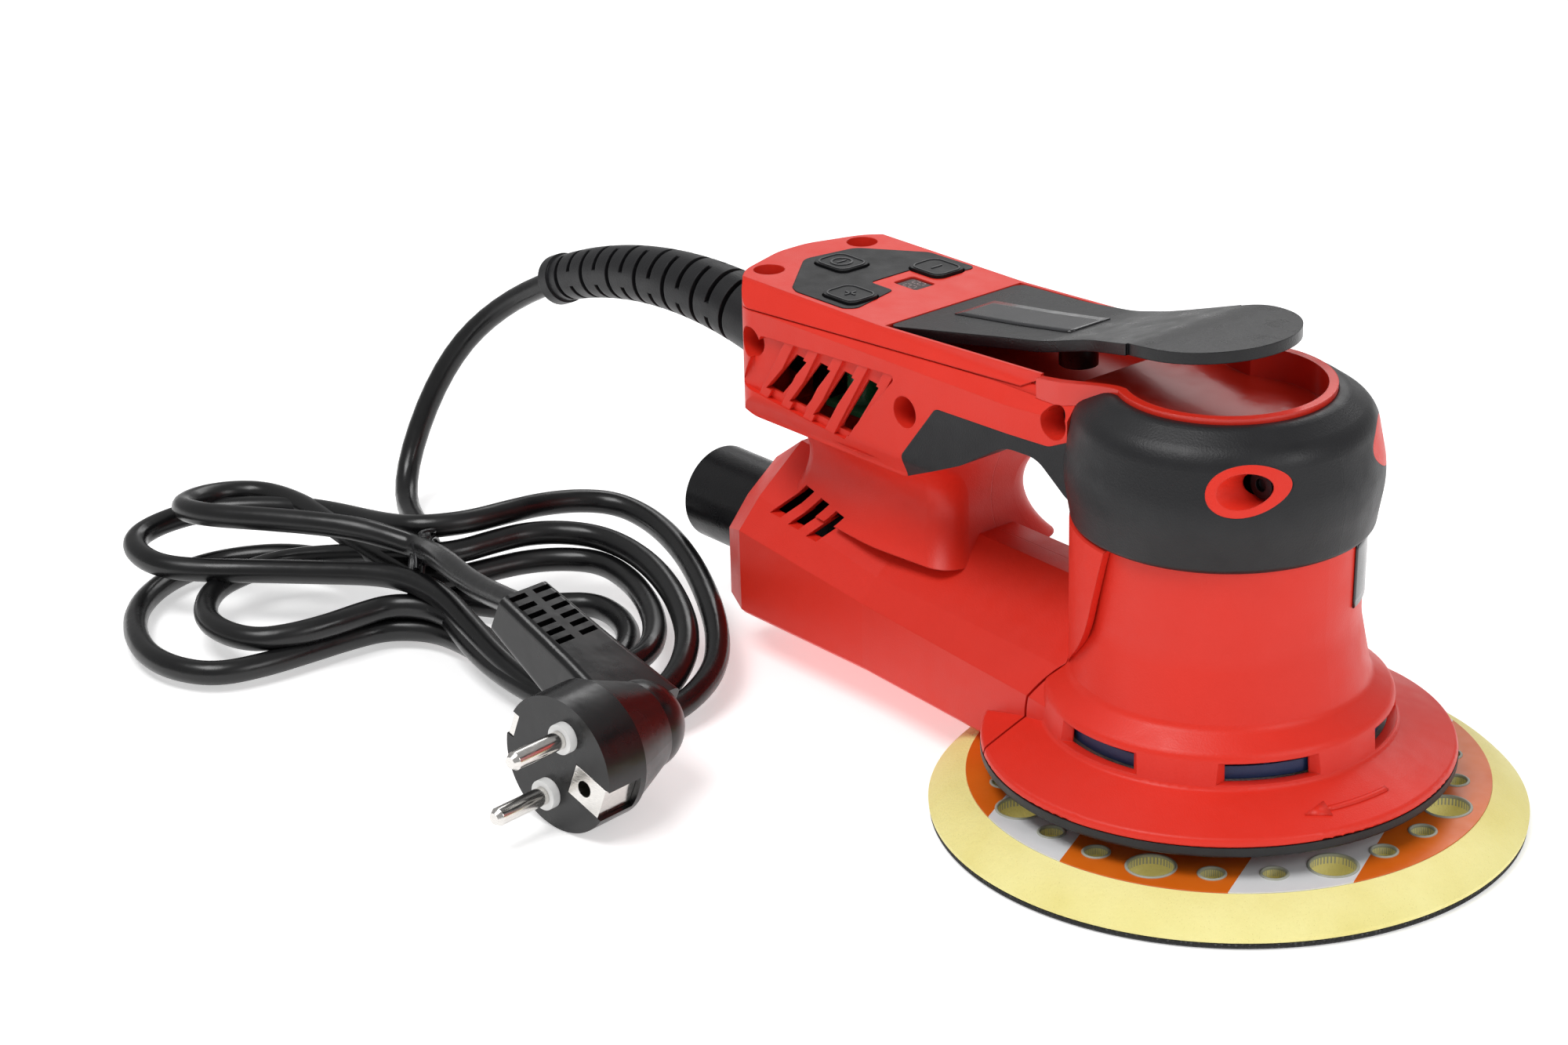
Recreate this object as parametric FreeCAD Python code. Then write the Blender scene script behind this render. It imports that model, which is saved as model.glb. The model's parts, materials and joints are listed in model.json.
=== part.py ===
"""Random orbital sander with a 150 mm pad, a mains cord and a plug. Millimetres, +Z up.

The origin is on the motor axis, in the plane of the sanding face. +X points from the tail to the head.
Each function makes one piece, and the table at the end names the file that each piece is written to.
"""
import FreeCAD
import Part
import math
import os

V = FreeCAD.Vector
UP = V(0, 0, 1)

# ---------------------------------------------------------------- sanding pad
PAD_DIAMETER = 150.0
PAD_BEVEL = 9.7              # the top of the foam is this much smaller in radius
HOOK_THICKNESS = 1.4
FOAM_TOP = 9.85
PLATE_THICKNESS = 2.0
LABEL_THICKNESS = 0.3
LABEL_LIP = 0.25             # foam rim left around the label
LARGE_HOLE_DIAMETER = 11.2
SMALL_HOLE_DIAMETER = 5.8
HOLE_EDGE = 9.0              # from the hole circle to the rim of the label
HOLE_START = 24.8            # angle of the first large hole, degrees
LARGE_HOLES = 8
STUD_RADIUS = 4.0
STUD_FLANGE_RADIUS = 9.0
ORBIT = 5.0                  # orbit diameter: twice the offset of the pad's axis
ORBIT_ANGLE = 43.0

# ---------------------------------------------------------------- motor housing
WALL = 2.4
FLANGE_RADIUS = 59.3
FLANGE_BOTTOM = 18.4
FLANGE_EDGE = 2.1
SLOT_WALL_RADIUS = 44.0
SLOT_WALL_BOTTOM = 26.1
SLOT_WALL_TOP = 34.2
FLARE_RADIUS = 37.2
FLARE_BOTTOM = 38.6
NECK_RADIUS = 34.2
NECK_BOTTOM = 54.6
NECK_TOP_RADIUS = 34.7
NECK_TOP = 79.6
MOTOR_BORE = 31.5
WINDOW_ANGLES = (-90, -30, 30, 90)
WINDOW_HALF_ANGLE = 14.5
WINDOW_BEVEL_ANGLE = 4.5
SEAL_DEPTH = 3.3
SEAL_WIDTH = 7.0

# ---------------------------------------------------------------- grip band and dish
BAND_BOTTOM = 78.4
BAND_RADIUS = 38.6
BAND_WIDEST = 95.5
RIM_RADIUS = 26.9
RIM_INNER_RADIUS = 24.6
RIM_TOP = 114.0
BAND_INNER_RADIUS = 34.95
DISH_FLOOR = 106.0
DISH_BOTTOM = 103.8
CHANNEL_HALF_WIDTH = 21.5

# ---------------------------------------------------------------- body shells
BODY_TOP = 108.9
BODY_HALF_WIDTH = 29.5
BODY_REAR = -160.0
TAIL_BOTTOM = 71.6
ARM_BOTTOM = 82.8
ARM_ARCH = 91.4              # highest point of the finger gap
COLUMN_FRONT = -82.0
COLUMN_REAR = -143.0
COVER_FRONT = -38.0
DISH_REAR = -37.6
COVER_SEAM_REAR = 102.0
COVER_SEAM_FRONT = 107.1
COVER_EDGE = 4.6             # width of the slope along the cover's long edges
SEAM_GAP = 0.35
HOUSING_GAP = 0.8            # groove between motor housing and body shells
ARM_END = -24.5              # where the arm's sides meet the grip band
RUBBER = 2.0
STRAP_THICKNESS = 2.3

# ---------------------------------------------------------------- dust duct
VENTS = 4
VENT_START = -137.6
VENT_PITCH = 9.4
VENT_WIDTH = 5.2
VENT_LEAN = 11.5
VENT_DEPTH = 1.6
DUCT_REAR = -162.0
DUCT_BOTTOM = 12.2
DUCT_FRONT = -33.0
DUCT_REAR_HALF = 29.0
DUCT_FRONT_HALF = 35.0
HOSE_RADIUS = 13.5
HOSE_BORE = 11.5
HOSE_HEIGHT = 27.7
HOSE_END = -193.8
HOSE_SEAT = 20.0

# ---------------------------------------------------------------- lever and panel
LEVER_REAR = -95.5
LEVER_HALF_WIDTH = 23.3
LEVER_WAIST = 14.6
LEVER_TIP_RADIUS = 21.4
LEVER_TIP_X = -4.5
LEVER_THICKNESS = 3.0
LEVER_RISE = 19.2
LEVER_PIVOT_X = -90.0
LEVER_PIVOT_Z = 103.9
KNUCKLE_RADIUS = 2.6
SPRING_WIRE_RADIUS = 0.3
SPRING_TURNS = 8
SPRING_PITCH = 1.2
LEVER_GAP = 0.4
LEVER_BOSS_X = -50.0
LEVER_BOSS_RADIUS = 5.0
LEVER_BOSS_BOTTOM = 104.8
PIN_RADIUS = 1.5
PIN_CLEARANCE = 0.06
RECESS_FLOOR = 101.0
PANEL_BOTTOM = 107.9
PANEL_PROUD = 0.2
BUTTON_TRAVEL = 0.8
BOARD_TOP = 100.2
SWITCH_TOP = 103.0
COVER_POST_TOP = 97.6
COVER_SCREW_SEAT = 101.0
BUTTON_LENGTH = 12.6
BUTTON_WIDTH = 10.6
BUTTON_CLEARANCE = 0.35
BUTTON_PROUD = 0.6
BUTTONS = {"power_button": (-139.8, 0.0), "plus_button": (-119.0, -15.2), "minus_button": (-119.0, 15.2)}
DISPLAY_X = -115.0
DISPLAY_LENGTH = 9.0
DISPLAY_WIDTH = 7.2
WINDOW_SINK = 0.6             # below the panel's surface
COVER_SCREW = (-150.3, 16.5)
SCREW_HOLE_RADIUS = 4.2
SCREW_HEAD_RADIUS = 3.4
SCREW_HEAD_HEIGHT = 2.4
SCREW_SHANK_RADIUS = 1.5
SCREW_CLEARANCE = 0.1
SCREW_BOSS_RADIUS = 4.9
SCREW_END = 19.0             # how far past the parting plane they reach
BODY_SCREWS = ((-143.5, 93.5, 14.0), (-82.5, 90.5, 14.0), (-29.5, 102.0, 19.5), (28.8, 100.1, 15.8))
FRONT_BOSS_RADIUS = 6.2

# ---------------------------------------------------------------- drive
SHAFT_RADIUS = 4.0
STATOR_BOTTOM = 51.5
STATOR_TOP = 76.0
ROTOR_RADIUS = 19.0
AIR_GAP = 0.6
LOWER_BEARING = (38.5, 7.0, 11.0)    # bottom, height, outer radius
UPPER_BEARING = (90.0, 7.0, 9.5)
SPINDLE_BEARING = (13.6, 11.0, 13.0)
FAN_RADIUS = 40.2
FAN_BOTTOM = 27.2
FAN_HEIGHT = 6.4
FAN_BLADES = 24
HUB_RADIUS = 20.0
HUB_BOTTOM = 12.6
COUNTERWEIGHT_RADIUS = 36.0
SPINDLE_RADIUS = 6.0
RUNNING_CLEARANCE = 0.05

# ---------------------------------------------------------------- cord and plug
CORD_DIAMETER = 6.8
BOOT_BASE = V(-162.2, 0, 82.6)
BOOT_ROOT = 12.2
BOOT_ROOT_RADIUS = 9.2
BOOT_MIDDLE = V(-213.0, 0, 86.6)
BOOT_END = V(-267.0, 0, 73.2)
BOOT_BASE_RADIUS = 10.4
BOOT_END_RADIUS = 6.6
BOOT_COLLAR_RADIUS = 7.4
BOOT_SLOTS = 13
FEED_ROUTE = [(-267, 0, 73.2), (-290, -1.5, 63), (-306, -17, 41), (-306, -36, 4.2), (-266, -52.5, 5.2),
              (-243, -71, 12)]
TAIL_ROUTE = [(-226, -81.5, 23.5), (-203, -91, 31), (-176, -99, 33), (-149, -104.6, 38.5)]
HANK_CENTRE = V(-228, -80, 0)
HANK_ANGLE = 40.0
HANK_HEIGHT = 24.0
HANK_WAIST = 18.0
HANK_OUTLINE = [(10, 18, 8), (30, 35, 14), (62, 21, 20), (87, -5, 16), (90, -58, 14), (62, -67, 20),
                (26, -46, 14),
                (12, -18, 8), (-11, -18, 8), (-20, -50, 14), (-40, -66, 14), (-64, -54, 20), (-88, -14, 30),
                (-94, 18, 14), (-74, 36, 14), (-30, 32, 20), (-10, 18, 8)]
HANK_BOTTOM = 1.4
TIE_WIDTH = 10.0
TIE_THICKNESS = 1.2
PLUG_RADIUS = 18.2
PLUG_FACE = V(-101.5, -129.5, 18.3)
PLUG_YAW = 7.0
PLUG_TILT = 22.0
PIN_SPACING = 19.0
PLUG_PIN_RADIUS = 2.4
PLUG_PIN_LENGTH = 19.0
PIN_ROOT_RADIUS = 2.1
COLLAR_HEIGHT = 2.3
EARTH_HOLE_ACROSS = 10.0
EARTH_HOLE_RADIUS = 2.2
EARTH_TUBE_WALL = 0.5


# ================================================================ drawing helpers
def unit(v):
    return v * (1.0 / v.Length)


def rounded_path(points, radii, closed):
    """Edges through the points, with a tangent arc of the given radius at each corner."""
    count = len(points)
    starts = list(points)
    ends = list(points)
    arcs = [None] * count
    corners = range(count) if closed else range(1, count - 1)
    for i in corners:
        if not radii[i]:
            continue
        here = points[i]
        back = unit(points[i - 1] - here)
        ahead = unit(points[(i + 1) % count] - here)
        half = back.getAngle(ahead) / 2
        reach = radii[i] / math.tan(half)
        starts[i] = here + back * reach
        ends[i] = here + ahead * reach
        middle = here + unit(back + ahead) * (radii[i] / math.sin(half) - radii[i])
        arcs[i] = Part.Arc(starts[i], middle, ends[i]).toShape()
    edges = []
    for i in range(count if closed else count - 1):
        if arcs[i]:
            edges.append(arcs[i])
        after = (i + 1) % count
        if (starts[after] - ends[i]).Length > 1e-6:
            edges.append(Part.LineSegment(ends[i], starts[after]).toShape())
    return edges


def outline(corners, place):
    """A closed flat wire. A corner is (u, v) or (u, v, radius), and place turns (u, v) into a point."""
    points = [place(c[0], c[1]) for c in corners]
    radii = [c[2] if len(c) > 2 else 0 for c in corners]
    return Part.Wire(rounded_path(points, radii, True))


def prism(corners, axis, low, high):
    """A flat outline pushed along an axis. Corners are (y, z) along x, (x, z) along y and (x, y) along z."""
    places = {"x": lambda u, v: V(low, u, v), "y": lambda u, v: V(u, low, v), "z": lambda u, v: V(u, v, low)}
    pushes = {"x": V(high - low, 0, 0), "y": V(0, high - low, 0), "z": V(0, 0, high - low)}
    return Part.Face(outline(corners, places[axis])).extrude(pushes[axis])


def lathe(corners, x=0.0, y=0.0, sweep=360.0):
    """An outline of (radius, height) corners turned about a vertical axis, evenly to both sides of +X."""
    face = Part.Face(outline(corners, lambda u, v: V(x + u, y, v)))
    if sweep < 360:
        face.rotate(V(x, y, 0), UP, -sweep / 2)
    return face.revolve(V(x, y, 0), UP, sweep)


def disc(radius, bottom, top, x=0.0, y=0.0):
    return Part.makeCylinder(radius, top - bottom, V(x, y, bottom))


def ring(outer, inner, bottom, top, x=0.0, y=0.0):
    return disc(outer, bottom, top, x, y).cut(disc(inner, bottom - 1, top + 1, x, y))


def rod(start, end, radius):
    return Part.makeCylinder(radius, (end - start).Length, start, end - start)


def block(x0, x1, y0, y1, z0, z1):
    return Part.makeBox(x1 - x0, y1 - y0, z1 - z0, V(x0, y0, z0))


def mirrored(corners):
    """The corners, and the same ones across the middle, for an outline that is alike left and right."""
    return corners + [(-c[0],) + tuple(c[1:]) for c in reversed(corners)]


def mirrored_y(corners):
    """The same for an outline of (x, y) corners, where y changes sign."""
    return corners + [(c[0], -c[1]) + tuple(c[2:]) for c in reversed(corners)]


def union(shapes):
    first = shapes[0]
    return first.fuse(shapes[1:]).removeSplitter() if len(shapes) > 1 else first


def around(shape, angles, x=0.0, y=0.0):
    copies = []
    for angle in angles:
        turned = shape.copy()
        turned.rotate(V(x, y, 0), UP, angle)
        copies.append(turned)
    return copies


PAD_X = ORBIT / 2 * math.cos(math.radians(ORBIT_ANGLE))
PAD_Y = ORBIT / 2 * math.sin(math.radians(ORBIT_ANGLE))
PAD_RADIUS = PAD_DIAMETER / 2
PAD_TOP_RADIUS = PAD_RADIUS - PAD_BEVEL
PLATE_BOTTOM = FOAM_TOP - PLATE_THICKNESS
LABEL_TOP = FOAM_TOP + LABEL_THICKNESS
HOLE_CIRCLE = PAD_TOP_RADIUS - HOLE_EDGE


# ================================================================ sanding pad
def pad_holes(bottom, top):
    """Suction holes: a large one and two small ones in each eighth of the pad."""
    step = 360.0 / LARGE_HOLES
    large = disc(LARGE_HOLE_DIAMETER / 2, bottom, top, PAD_X + HOLE_CIRCLE, PAD_Y)
    small = disc(SMALL_HOLE_DIAMETER / 2, bottom, top, PAD_X + HOLE_CIRCLE, PAD_Y)
    starts = [HOLE_START + step * i for i in range(LARGE_HOLES)]
    holes = around(large, starts, PAD_X, PAD_Y)
    for third in (1, 2):
        holes += around(small, [a + step * third / 3 for a in starts], PAD_X, PAD_Y)
    return Part.makeCompound(holes)


def pierced(shape):
    return shape.cut(pad_holes(-1, LABEL_TOP + 1))


def pad_hook():
    return pierced(disc(PAD_RADIUS - 0.4, 0, HOOK_THICKNESS, PAD_X, PAD_Y))


def pad_foam():
    """Foam with a slightly crowned bevel, and a pocket for the stiff plate."""
    side = HOOK_THICKNESS + 1.6
    corners = [(0, HOOK_THICKNESS), (PAD_RADIUS - 0.4, HOOK_THICKNESS), (PAD_RADIUS, side, 0.8),
               (PAD_RADIUS - PAD_BEVEL * 0.42, FOAM_TOP - 2.6, 14), (PAD_TOP_RADIUS + LABEL_LIP, FOAM_TOP),
               (PAD_TOP_RADIUS, FOAM_TOP), (PAD_TOP_RADIUS, PLATE_BOTTOM), (0, PLATE_BOTTOM)]
    return pierced(lathe(corners, PAD_X, PAD_Y))


def pad_plate():
    return pierced(disc(PAD_TOP_RADIUS, PLATE_BOTTOM, FOAM_TOP, PAD_X, PAD_Y)).cut(pad_stud())


def pad_stud():
    """Stud moulded into the plate, which screws into the spindle."""
    flange = disc(STUD_FLANGE_RADIUS, PLATE_BOTTOM, PLATE_BOTTOM + 1, PAD_X, PAD_Y)
    return flange.fuse(disc(STUD_RADIUS, PLATE_BOTTOM, SPINDLE_BEARING[0] + 5, PAD_X, PAD_Y)).removeSplitter()


def pad_label():
    return pierced(ring(PAD_TOP_RADIUS, HUB_RADIUS, FOAM_TOP, LABEL_TOP, PAD_X, PAD_Y))


def pad_spindle():
    """Shouldered spindle: its disc clamps the plate and its shank turns in the eccentric hub."""
    shoulder = HUB_BOTTOM - 1.0
    bottom, height, radius = SPINDLE_BEARING
    corners = [(0, FOAM_TOP), (HUB_RADIUS - 3, FOAM_TOP), (HUB_RADIUS - 3, shoulder - 0.6, 0.4),
               (SPINDLE_RADIUS + 3, shoulder), (SPINDLE_RADIUS + 1.5, bottom - 0.3),
               (SPINDLE_RADIUS, bottom - 0.3),
               (SPINDLE_RADIUS, bottom + height), (0, bottom + height)]
    return lathe(corners, PAD_X, PAD_Y).cut(disc(STUD_RADIUS, FOAM_TOP - 1, bottom + 5, PAD_X, PAD_Y))


# ================================================================ drive
def bearing(place, shaft, x=0.0, y=0.0):
    """A ball bearing as its two rings and the shield between them."""
    bottom, height, outer = place
    whole = ring(outer, shaft, bottom, bottom + height, x, y)
    groove = 0.5
    inner_edge = shaft + (outer - shaft) * 0.3
    outer_edge = shaft + (outer - shaft) * 0.72
    for low, high in ((bottom, bottom + groove), (bottom + height - groove, bottom + height)):
        whole = whole.cut(ring(outer_edge, inner_edge, low, high, x, y))
    return whole


def spindle_bearing():
    return bearing(SPINDLE_BEARING, SPINDLE_RADIUS + RUNNING_CLEARANCE, PAD_X, PAD_Y)


def eccentric_hub():
    """Hub on the motor shaft whose lower bore stands off the motor axis by half the orbit."""
    bottom, height, radius = SPINDLE_BEARING
    hub = disc(HUB_RADIUS, HUB_BOTTOM, FAN_BOTTOM)
    hub = hub.cut(disc(radius, HUB_BOTTOM - 1, bottom + height + 0.4, PAD_X, PAD_Y))
    return hub.cut(disc(SHAFT_RADIUS, HUB_BOTTOM, FAN_BOTTOM + 1))


def counterweight():
    """Part ring on the hub, on the side away from the pad's axis."""
    bottom, height, radius = SPINDLE_BEARING
    low = bottom + 1.0
    sector = Part.makeCylinder(COUNTERWEIGHT_RADIUS, FAN_BOTTOM - 0.4 - low, V(0, 0, low), UP, 150)
    sector.rotate(V(0, 0, 0), UP, ORBIT_ANGLE + 180 - 75)
    return sector.cut(disc(HUB_RADIUS, 0, FAN_BOTTOM))


def fan():
    """Dust and cooling fan: a disc with radial blades and a thin rim on top of them."""
    top = FAN_BOTTOM + FAN_HEIGHT
    plate = disc(FAN_RADIUS, FAN_BOTTOM, FAN_BOTTOM + 1.8)
    hub = disc(11, FAN_BOTTOM, top)
    blade = block(10, FAN_RADIUS - 0.4, -0.6, 0.6, FAN_BOTTOM + 1, top - 1.0)
    lip = ring(FAN_RADIUS, FAN_RADIUS - 2.4, FAN_BOTTOM + 1.5, FAN_BOTTOM + 3.4)
    blades = around(blade, [360.0 / FAN_BLADES * i for i in range(FAN_BLADES)])
    return union([plate, hub, lip] + blades).cut(disc(SHAFT_RADIUS, FAN_BOTTOM - 1, top + 1))


def motor_shaft():
    bottom, height, radius = UPPER_BEARING
    return disc(SHAFT_RADIUS - RUNNING_CLEARANCE / 2, SPINDLE_BEARING[0] + SPINDLE_BEARING[1] + 0.9,
                bottom + height + 1.5)


def rotor():
    return ring(ROTOR_RADIUS, SHAFT_RADIUS, STATOR_BOTTOM, STATOR_TOP)


def motor_stator():
    """Laminated ring with slots for the windings."""
    inner = ROTOR_RADIUS + AIR_GAP
    body = ring(MOTOR_BORE, inner, STATOR_BOTTOM, STATOR_TOP)
    slot = block(inner + 2.0, MOTOR_BORE - 4.0, -2.2, 2.2, STATOR_BOTTOM - 1, STATOR_TOP + 1)
    return body.cut(Part.makeCompound(around(slot, range(0, 360, 30))))


def stator_windings():
    """The coils' end turns above and below the stator, and their legs in the slots."""
    inner = ROTOR_RADIUS + AIR_GAP + 2.2
    outer = MOTOR_BORE - 4.2
    leg = block(inner, outer, -2.0, 2.0, STATOR_BOTTOM - 3, STATOR_TOP + 3)
    legs = around(leg, range(0, 360, 30))
    ends = [lathe([(inner, low, 1.4), (outer, low, 1.4), (outer, low + 4.5, 1.4), (inner, low + 4.5, 1.4)])
            for low in (STATOR_BOTTOM - 4.7, STATOR_TOP + 0.2)]
    return union(ends + legs)


def bearing_cap():
    """Plate that closes the motor and holds its upper bearing."""
    bottom, height, radius = UPPER_BEARING
    low = bottom - 2.5
    corners = [(SHAFT_RADIUS + 2, low), (MOTOR_BORE, low), (MOTOR_BORE, low + 4), (radius + 3, low + 4),
               (radius + 3, bottom + height), (radius, bottom + height), (radius, bottom),
               (SHAFT_RADIUS + 2, bottom)]
    return lathe(corners)


# ================================================================ motor housing
def housing_outer(grow=0.0):
    """Outer form of the motor housing, from the flange to the neck, grown evenly in radius."""
    corners = [(0, FLANGE_BOTTOM), (FLANGE_RADIUS + grow, FLANGE_BOTTOM, 0.6 if not grow else 0),
               (FLANGE_RADIUS - 0.5 + grow, FLANGE_BOTTOM + FLANGE_EDGE, 1.2),
               (SLOT_WALL_RADIUS + grow, SLOT_WALL_BOTTOM, 1.2),
               (SLOT_WALL_RADIUS - 0.8 + grow, SLOT_WALL_TOP, 3.0),
               (FLARE_RADIUS + grow, FLARE_BOTTOM, 3.0),
               (NECK_RADIUS + grow, NECK_BOTTOM, 20), (NECK_TOP_RADIUS + grow, NECK_TOP), (0, NECK_TOP)]
    return lathe(corners)


def housing_inner():
    """The space inside the motor housing: fan chamber, bearing web and motor bore."""
    bottom, height, radius = LOWER_BEARING
    chamber = lathe([(0, FLANGE_BOTTOM - 1), (FLANGE_RADIUS - SEAL_WIDTH, FLANGE_BOTTOM - 1),
                     (FLANGE_RADIUS - SEAL_WIDTH, FLANGE_BOTTOM + 1),
                     (SLOT_WALL_RADIUS - WALL, SLOT_WALL_BOTTOM - 0.4),
                     (SLOT_WALL_RADIUS - 0.8 - WALL, SLOT_WALL_TOP), (0, SLOT_WALL_TOP)])
    pocket = disc(radius, bottom, bottom + height + 0.5)
    passage = disc(SHAFT_RADIUS + 2, SLOT_WALL_TOP - 1, bottom + 1)
    bore = disc(MOTOR_BORE, bottom + height, NECK_TOP + 1)
    vents = around(disc(3.0, SLOT_WALL_TOP - 1, bottom + height + 1, 20, 0), range(0, 360, 45))
    return union([chamber, pocket, passage, bore] + vents)


def windows():
    """Air windows in the slot wall, each with bevelled ends that widen outwards."""
    half = math.radians(WINDOW_HALF_ANGLE)
    wide = math.radians(WINDOW_HALF_ANGLE + WINDOW_BEVEL_ANGLE)
    inner = SLOT_WALL_RADIUS - WALL - 2
    outer = SLOT_WALL_RADIUS + 1.5
    corners = mirrored_y([(inner * math.cos(half), inner * math.sin(half)),
                          ((SLOT_WALL_RADIUS - WALL) * math.cos(half),
                           (SLOT_WALL_RADIUS - WALL) * math.sin(half)),
                          (outer * math.cos(wide), outer * math.sin(wide))])
    nose = [(outer + 4, 0)]
    opening = prism(corners[:3] + nose + corners[3:], "z", SLOT_WALL_BOTTOM + 1.2, SLOT_WALL_TOP - 1.6)
    return Part.makeCompound(around(opening, WINDOW_ANGLES))


def seam_corners(shift):
    """Side outline of the region in front of the seam between motor housing and body shells."""
    return [(DUCT_FRONT + shift, 0), (DUCT_FRONT + shift, 33, 18), (-12.5 + shift, 51, 30),
            (-3.2 + shift, 80), (-3.2 + shift, 90), (90, 90), (90, 0)]


def ahead_of_seam(shift=0.0):
    return prism(seam_corners(shift), "y", -80, 80)


def motor_housing():
    """Flange, slot wall and neck in one piece, with the front end of the dust duct growing out of it."""
    form = housing_outer()
    front_flange = form.common(ahead_of_seam(HOUSING_GAP))
    upper = form.common(disc(FLANGE_RADIUS + 5, SLOT_WALL_TOP, NECK_TOP + 1))
    extension = duct_outer().cut(disc(NECK_RADIUS - 4, 0, 60)).common(ahead_of_seam(HOUSING_GAP))
    extension = extension.cut(disc(FLANGE_RADIUS + 40, 0, FLANGE_BOTTOM + 0.8))
    shell = union([front_flange, upper, extension])
    shell = shell.cut(housing_inner()).cut(windows())
    return shell.cut(duct_inner(0.0).common(block(-70, -30, -40, 40, FLANGE_BOTTOM, SLOT_WALL_TOP - 1)))


def seal_ring():
    """Rubber seal under the flange's edge, with a lip towards the pad, open where the duct comes in."""
    outer = FLANGE_RADIUS - 0.1
    low = FLANGE_BOTTOM - SEAL_DEPTH
    corners = [(outer - SEAL_WIDTH, low + 1.2), (outer - SEAL_WIDTH + 2, low + 0.3, 1), (outer - 2, low, 0.8),
               (outer, low + 1.0, 0.8), (outer, FLANGE_BOTTOM), (outer - SEAL_WIDTH, FLANGE_BOTTOM)]
    behind = 2 * math.degrees(math.asin((DUCT_FRONT_HALF + 1.5) / (outer - SEAL_WIDTH)))
    return lathe(corners, sweep=360 - behind)


# ================================================================ body shells
def duct_section(x, half, ridge, shoulder_half, shoulder, roof, inset):
    """Six-sided cross-section of the dust duct, as a closed wire across x."""
    low = DUCT_BOTTOM + inset
    side = half - inset
    corners = mirrored([(side - 1.5, low), (side, low + 1.5), (side, ridge - inset * 0.4),
                        (shoulder_half - inset * 0.7, shoulder - inset * 0.7), (6.0, roof - inset)])
    return outline(corners, lambda u, v: V(x, u, v))


def duct_form(inset):
    """Duct from its chamfered rear end to under the neck."""
    rear = DUCT_REAR + inset
    sections = [
        duct_section(rear, DUCT_REAR_HALF - 5.5, 33, 16.5, 41, 49, inset),
        duct_section(rear + 11, DUCT_REAR_HALF, 37, 21.5, 45, 57, inset),
        duct_section(-100, DUCT_REAR_HALF + 0.8, 32, 24.5, 38, 51.5, inset),
        duct_section(DUCT_FRONT, DUCT_FRONT_HALF, 30.5, 27.5, 37.5, 50, inset),
        duct_section(-10, DUCT_FRONT_HALF + 3, 30, 30, 37, 49.5, inset)]
    return Part.makeLoft(sections, True, True)


def duct_outer():
    return duct_form(0.0)


def duct_inner(shift):
    return duct_form(WALL + shift)


def column_form(inset):
    """Column between duct and tail, waisted at half its height."""
    levels = [(45.0, 5.6, 6.0), (49.0, 2.8, 3.0), (54.5, 0.6, 0.6), (60.5, 0.0, 0.0), (65.5, 1.6, 0.8),
              (70.0, 6.0, 2.4), (74.0, 11.2, 4.0)]
    wires = []
    for height, spread, fore in levels:
        side = 15.5 + spread - inset
        front = COLUMN_FRONT + fore - inset
        rear = COLUMN_REAR - spread * 0.8 + inset
        corners = mirrored_y([(front, side - 0.1, 8.0), (-104, side + 2.0, 60), (rear, side - 3.0, 6.0)])
        wires.append(outline(corners, lambda u, v, z=height: V(u, v, z)))
    return Part.makeLoft(wires, True, False)


def tail_form(inset):
    """Tail and handle arm: a side outline, a plan and a cross-section, each pushed through the others."""
    i = inset
    side = prism([(BODY_REAR - 2 + i, BODY_TOP - i), (BODY_REAR - 2 + i, TAIL_BOTTOM + 16 + i),
                  (BODY_REAR + 1.5 + i, TAIL_BOTTOM + 6 + i, 9), (BODY_REAR + 14 + i, TAIL_BOTTOM + i, 12),
                  (COLUMN_FRONT - 3, TAIL_BOTTOM + i, 6), (-62, ARM_BOTTOM - 1.0 + i, 14),
                  (-46, ARM_ARCH + i, 12), (-35, ARM_ARCH + i, 9), (-24, ARM_BOTTOM + i, 8),
                  (-10, ARM_BOTTOM + i),
                  (-10, RIM_TOP - i), (COVER_FRONT, BODY_TOP + 2.6 - i, 40), (LEVER_REAR, BODY_TOP - i, 60)],
                 "y", -60, 60)
    w = BODY_HALF_WIDTH - i
    plan = prism(mirrored_y([(BODY_REAR + i, 5.0, 20), (BODY_REAR + 5.2 + i, w - 8.5, 16),
                             (BODY_REAR + 13 + i, w, 10),
                             (-45, w, 30), (-10, w - 1.5)]), "z", 50, 130)
    section = prism(mirrored([(w - 2.6, TAIL_BOTTOM - 6 + i), (w - 2.2, TAIL_BOTTOM + 1 + i, 3),
                              (w, TAIL_BOTTOM + 6 + i, 6),
                              (w, COVER_SEAM_REAR + 0.6), (w - COVER_EDGE, BODY_TOP - 0.5, 3),
                              (w - COVER_EDGE - 1, RIM_TOP + 6)]),
                    "x", -170, 0)
    return side.common(plan).common(section)


def above_cover_seam(shift=0.0):
    rear = COVER_SEAM_REAR + shift
    front = COVER_SEAM_FRONT + shift
    return prism([(BODY_REAR - 9, rear - 0.4), (COVER_FRONT - 6, front), (COVER_FRONT, front + 3),
                  (COVER_FRONT, 150), (BODY_REAR - 9, 150)], "y", -60, 60)


def strap():
    """Shell at the back of the neck that carries the arm's load down to the duct."""
    inner = NECK_TOP_RADIUS + 0.25
    outer = inner + STRAP_THICKNESS
    band = lathe([(inner, SLOT_WALL_TOP), (outer, SLOT_WALL_TOP), (outer, BAND_BOTTOM - 0.2),
                  (inner + 0.3, BAND_BOTTOM + 0.6), (inner + 0.3, NECK_TOP + 4),
                  (MOTOR_BORE + 1.5, NECK_TOP + 4),
                  (MOTOR_BORE + 1.5, NECK_TOP + 0.3), (inner, NECK_TOP + 0.3)])
    return band.cut(ahead_of_seam())


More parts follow.
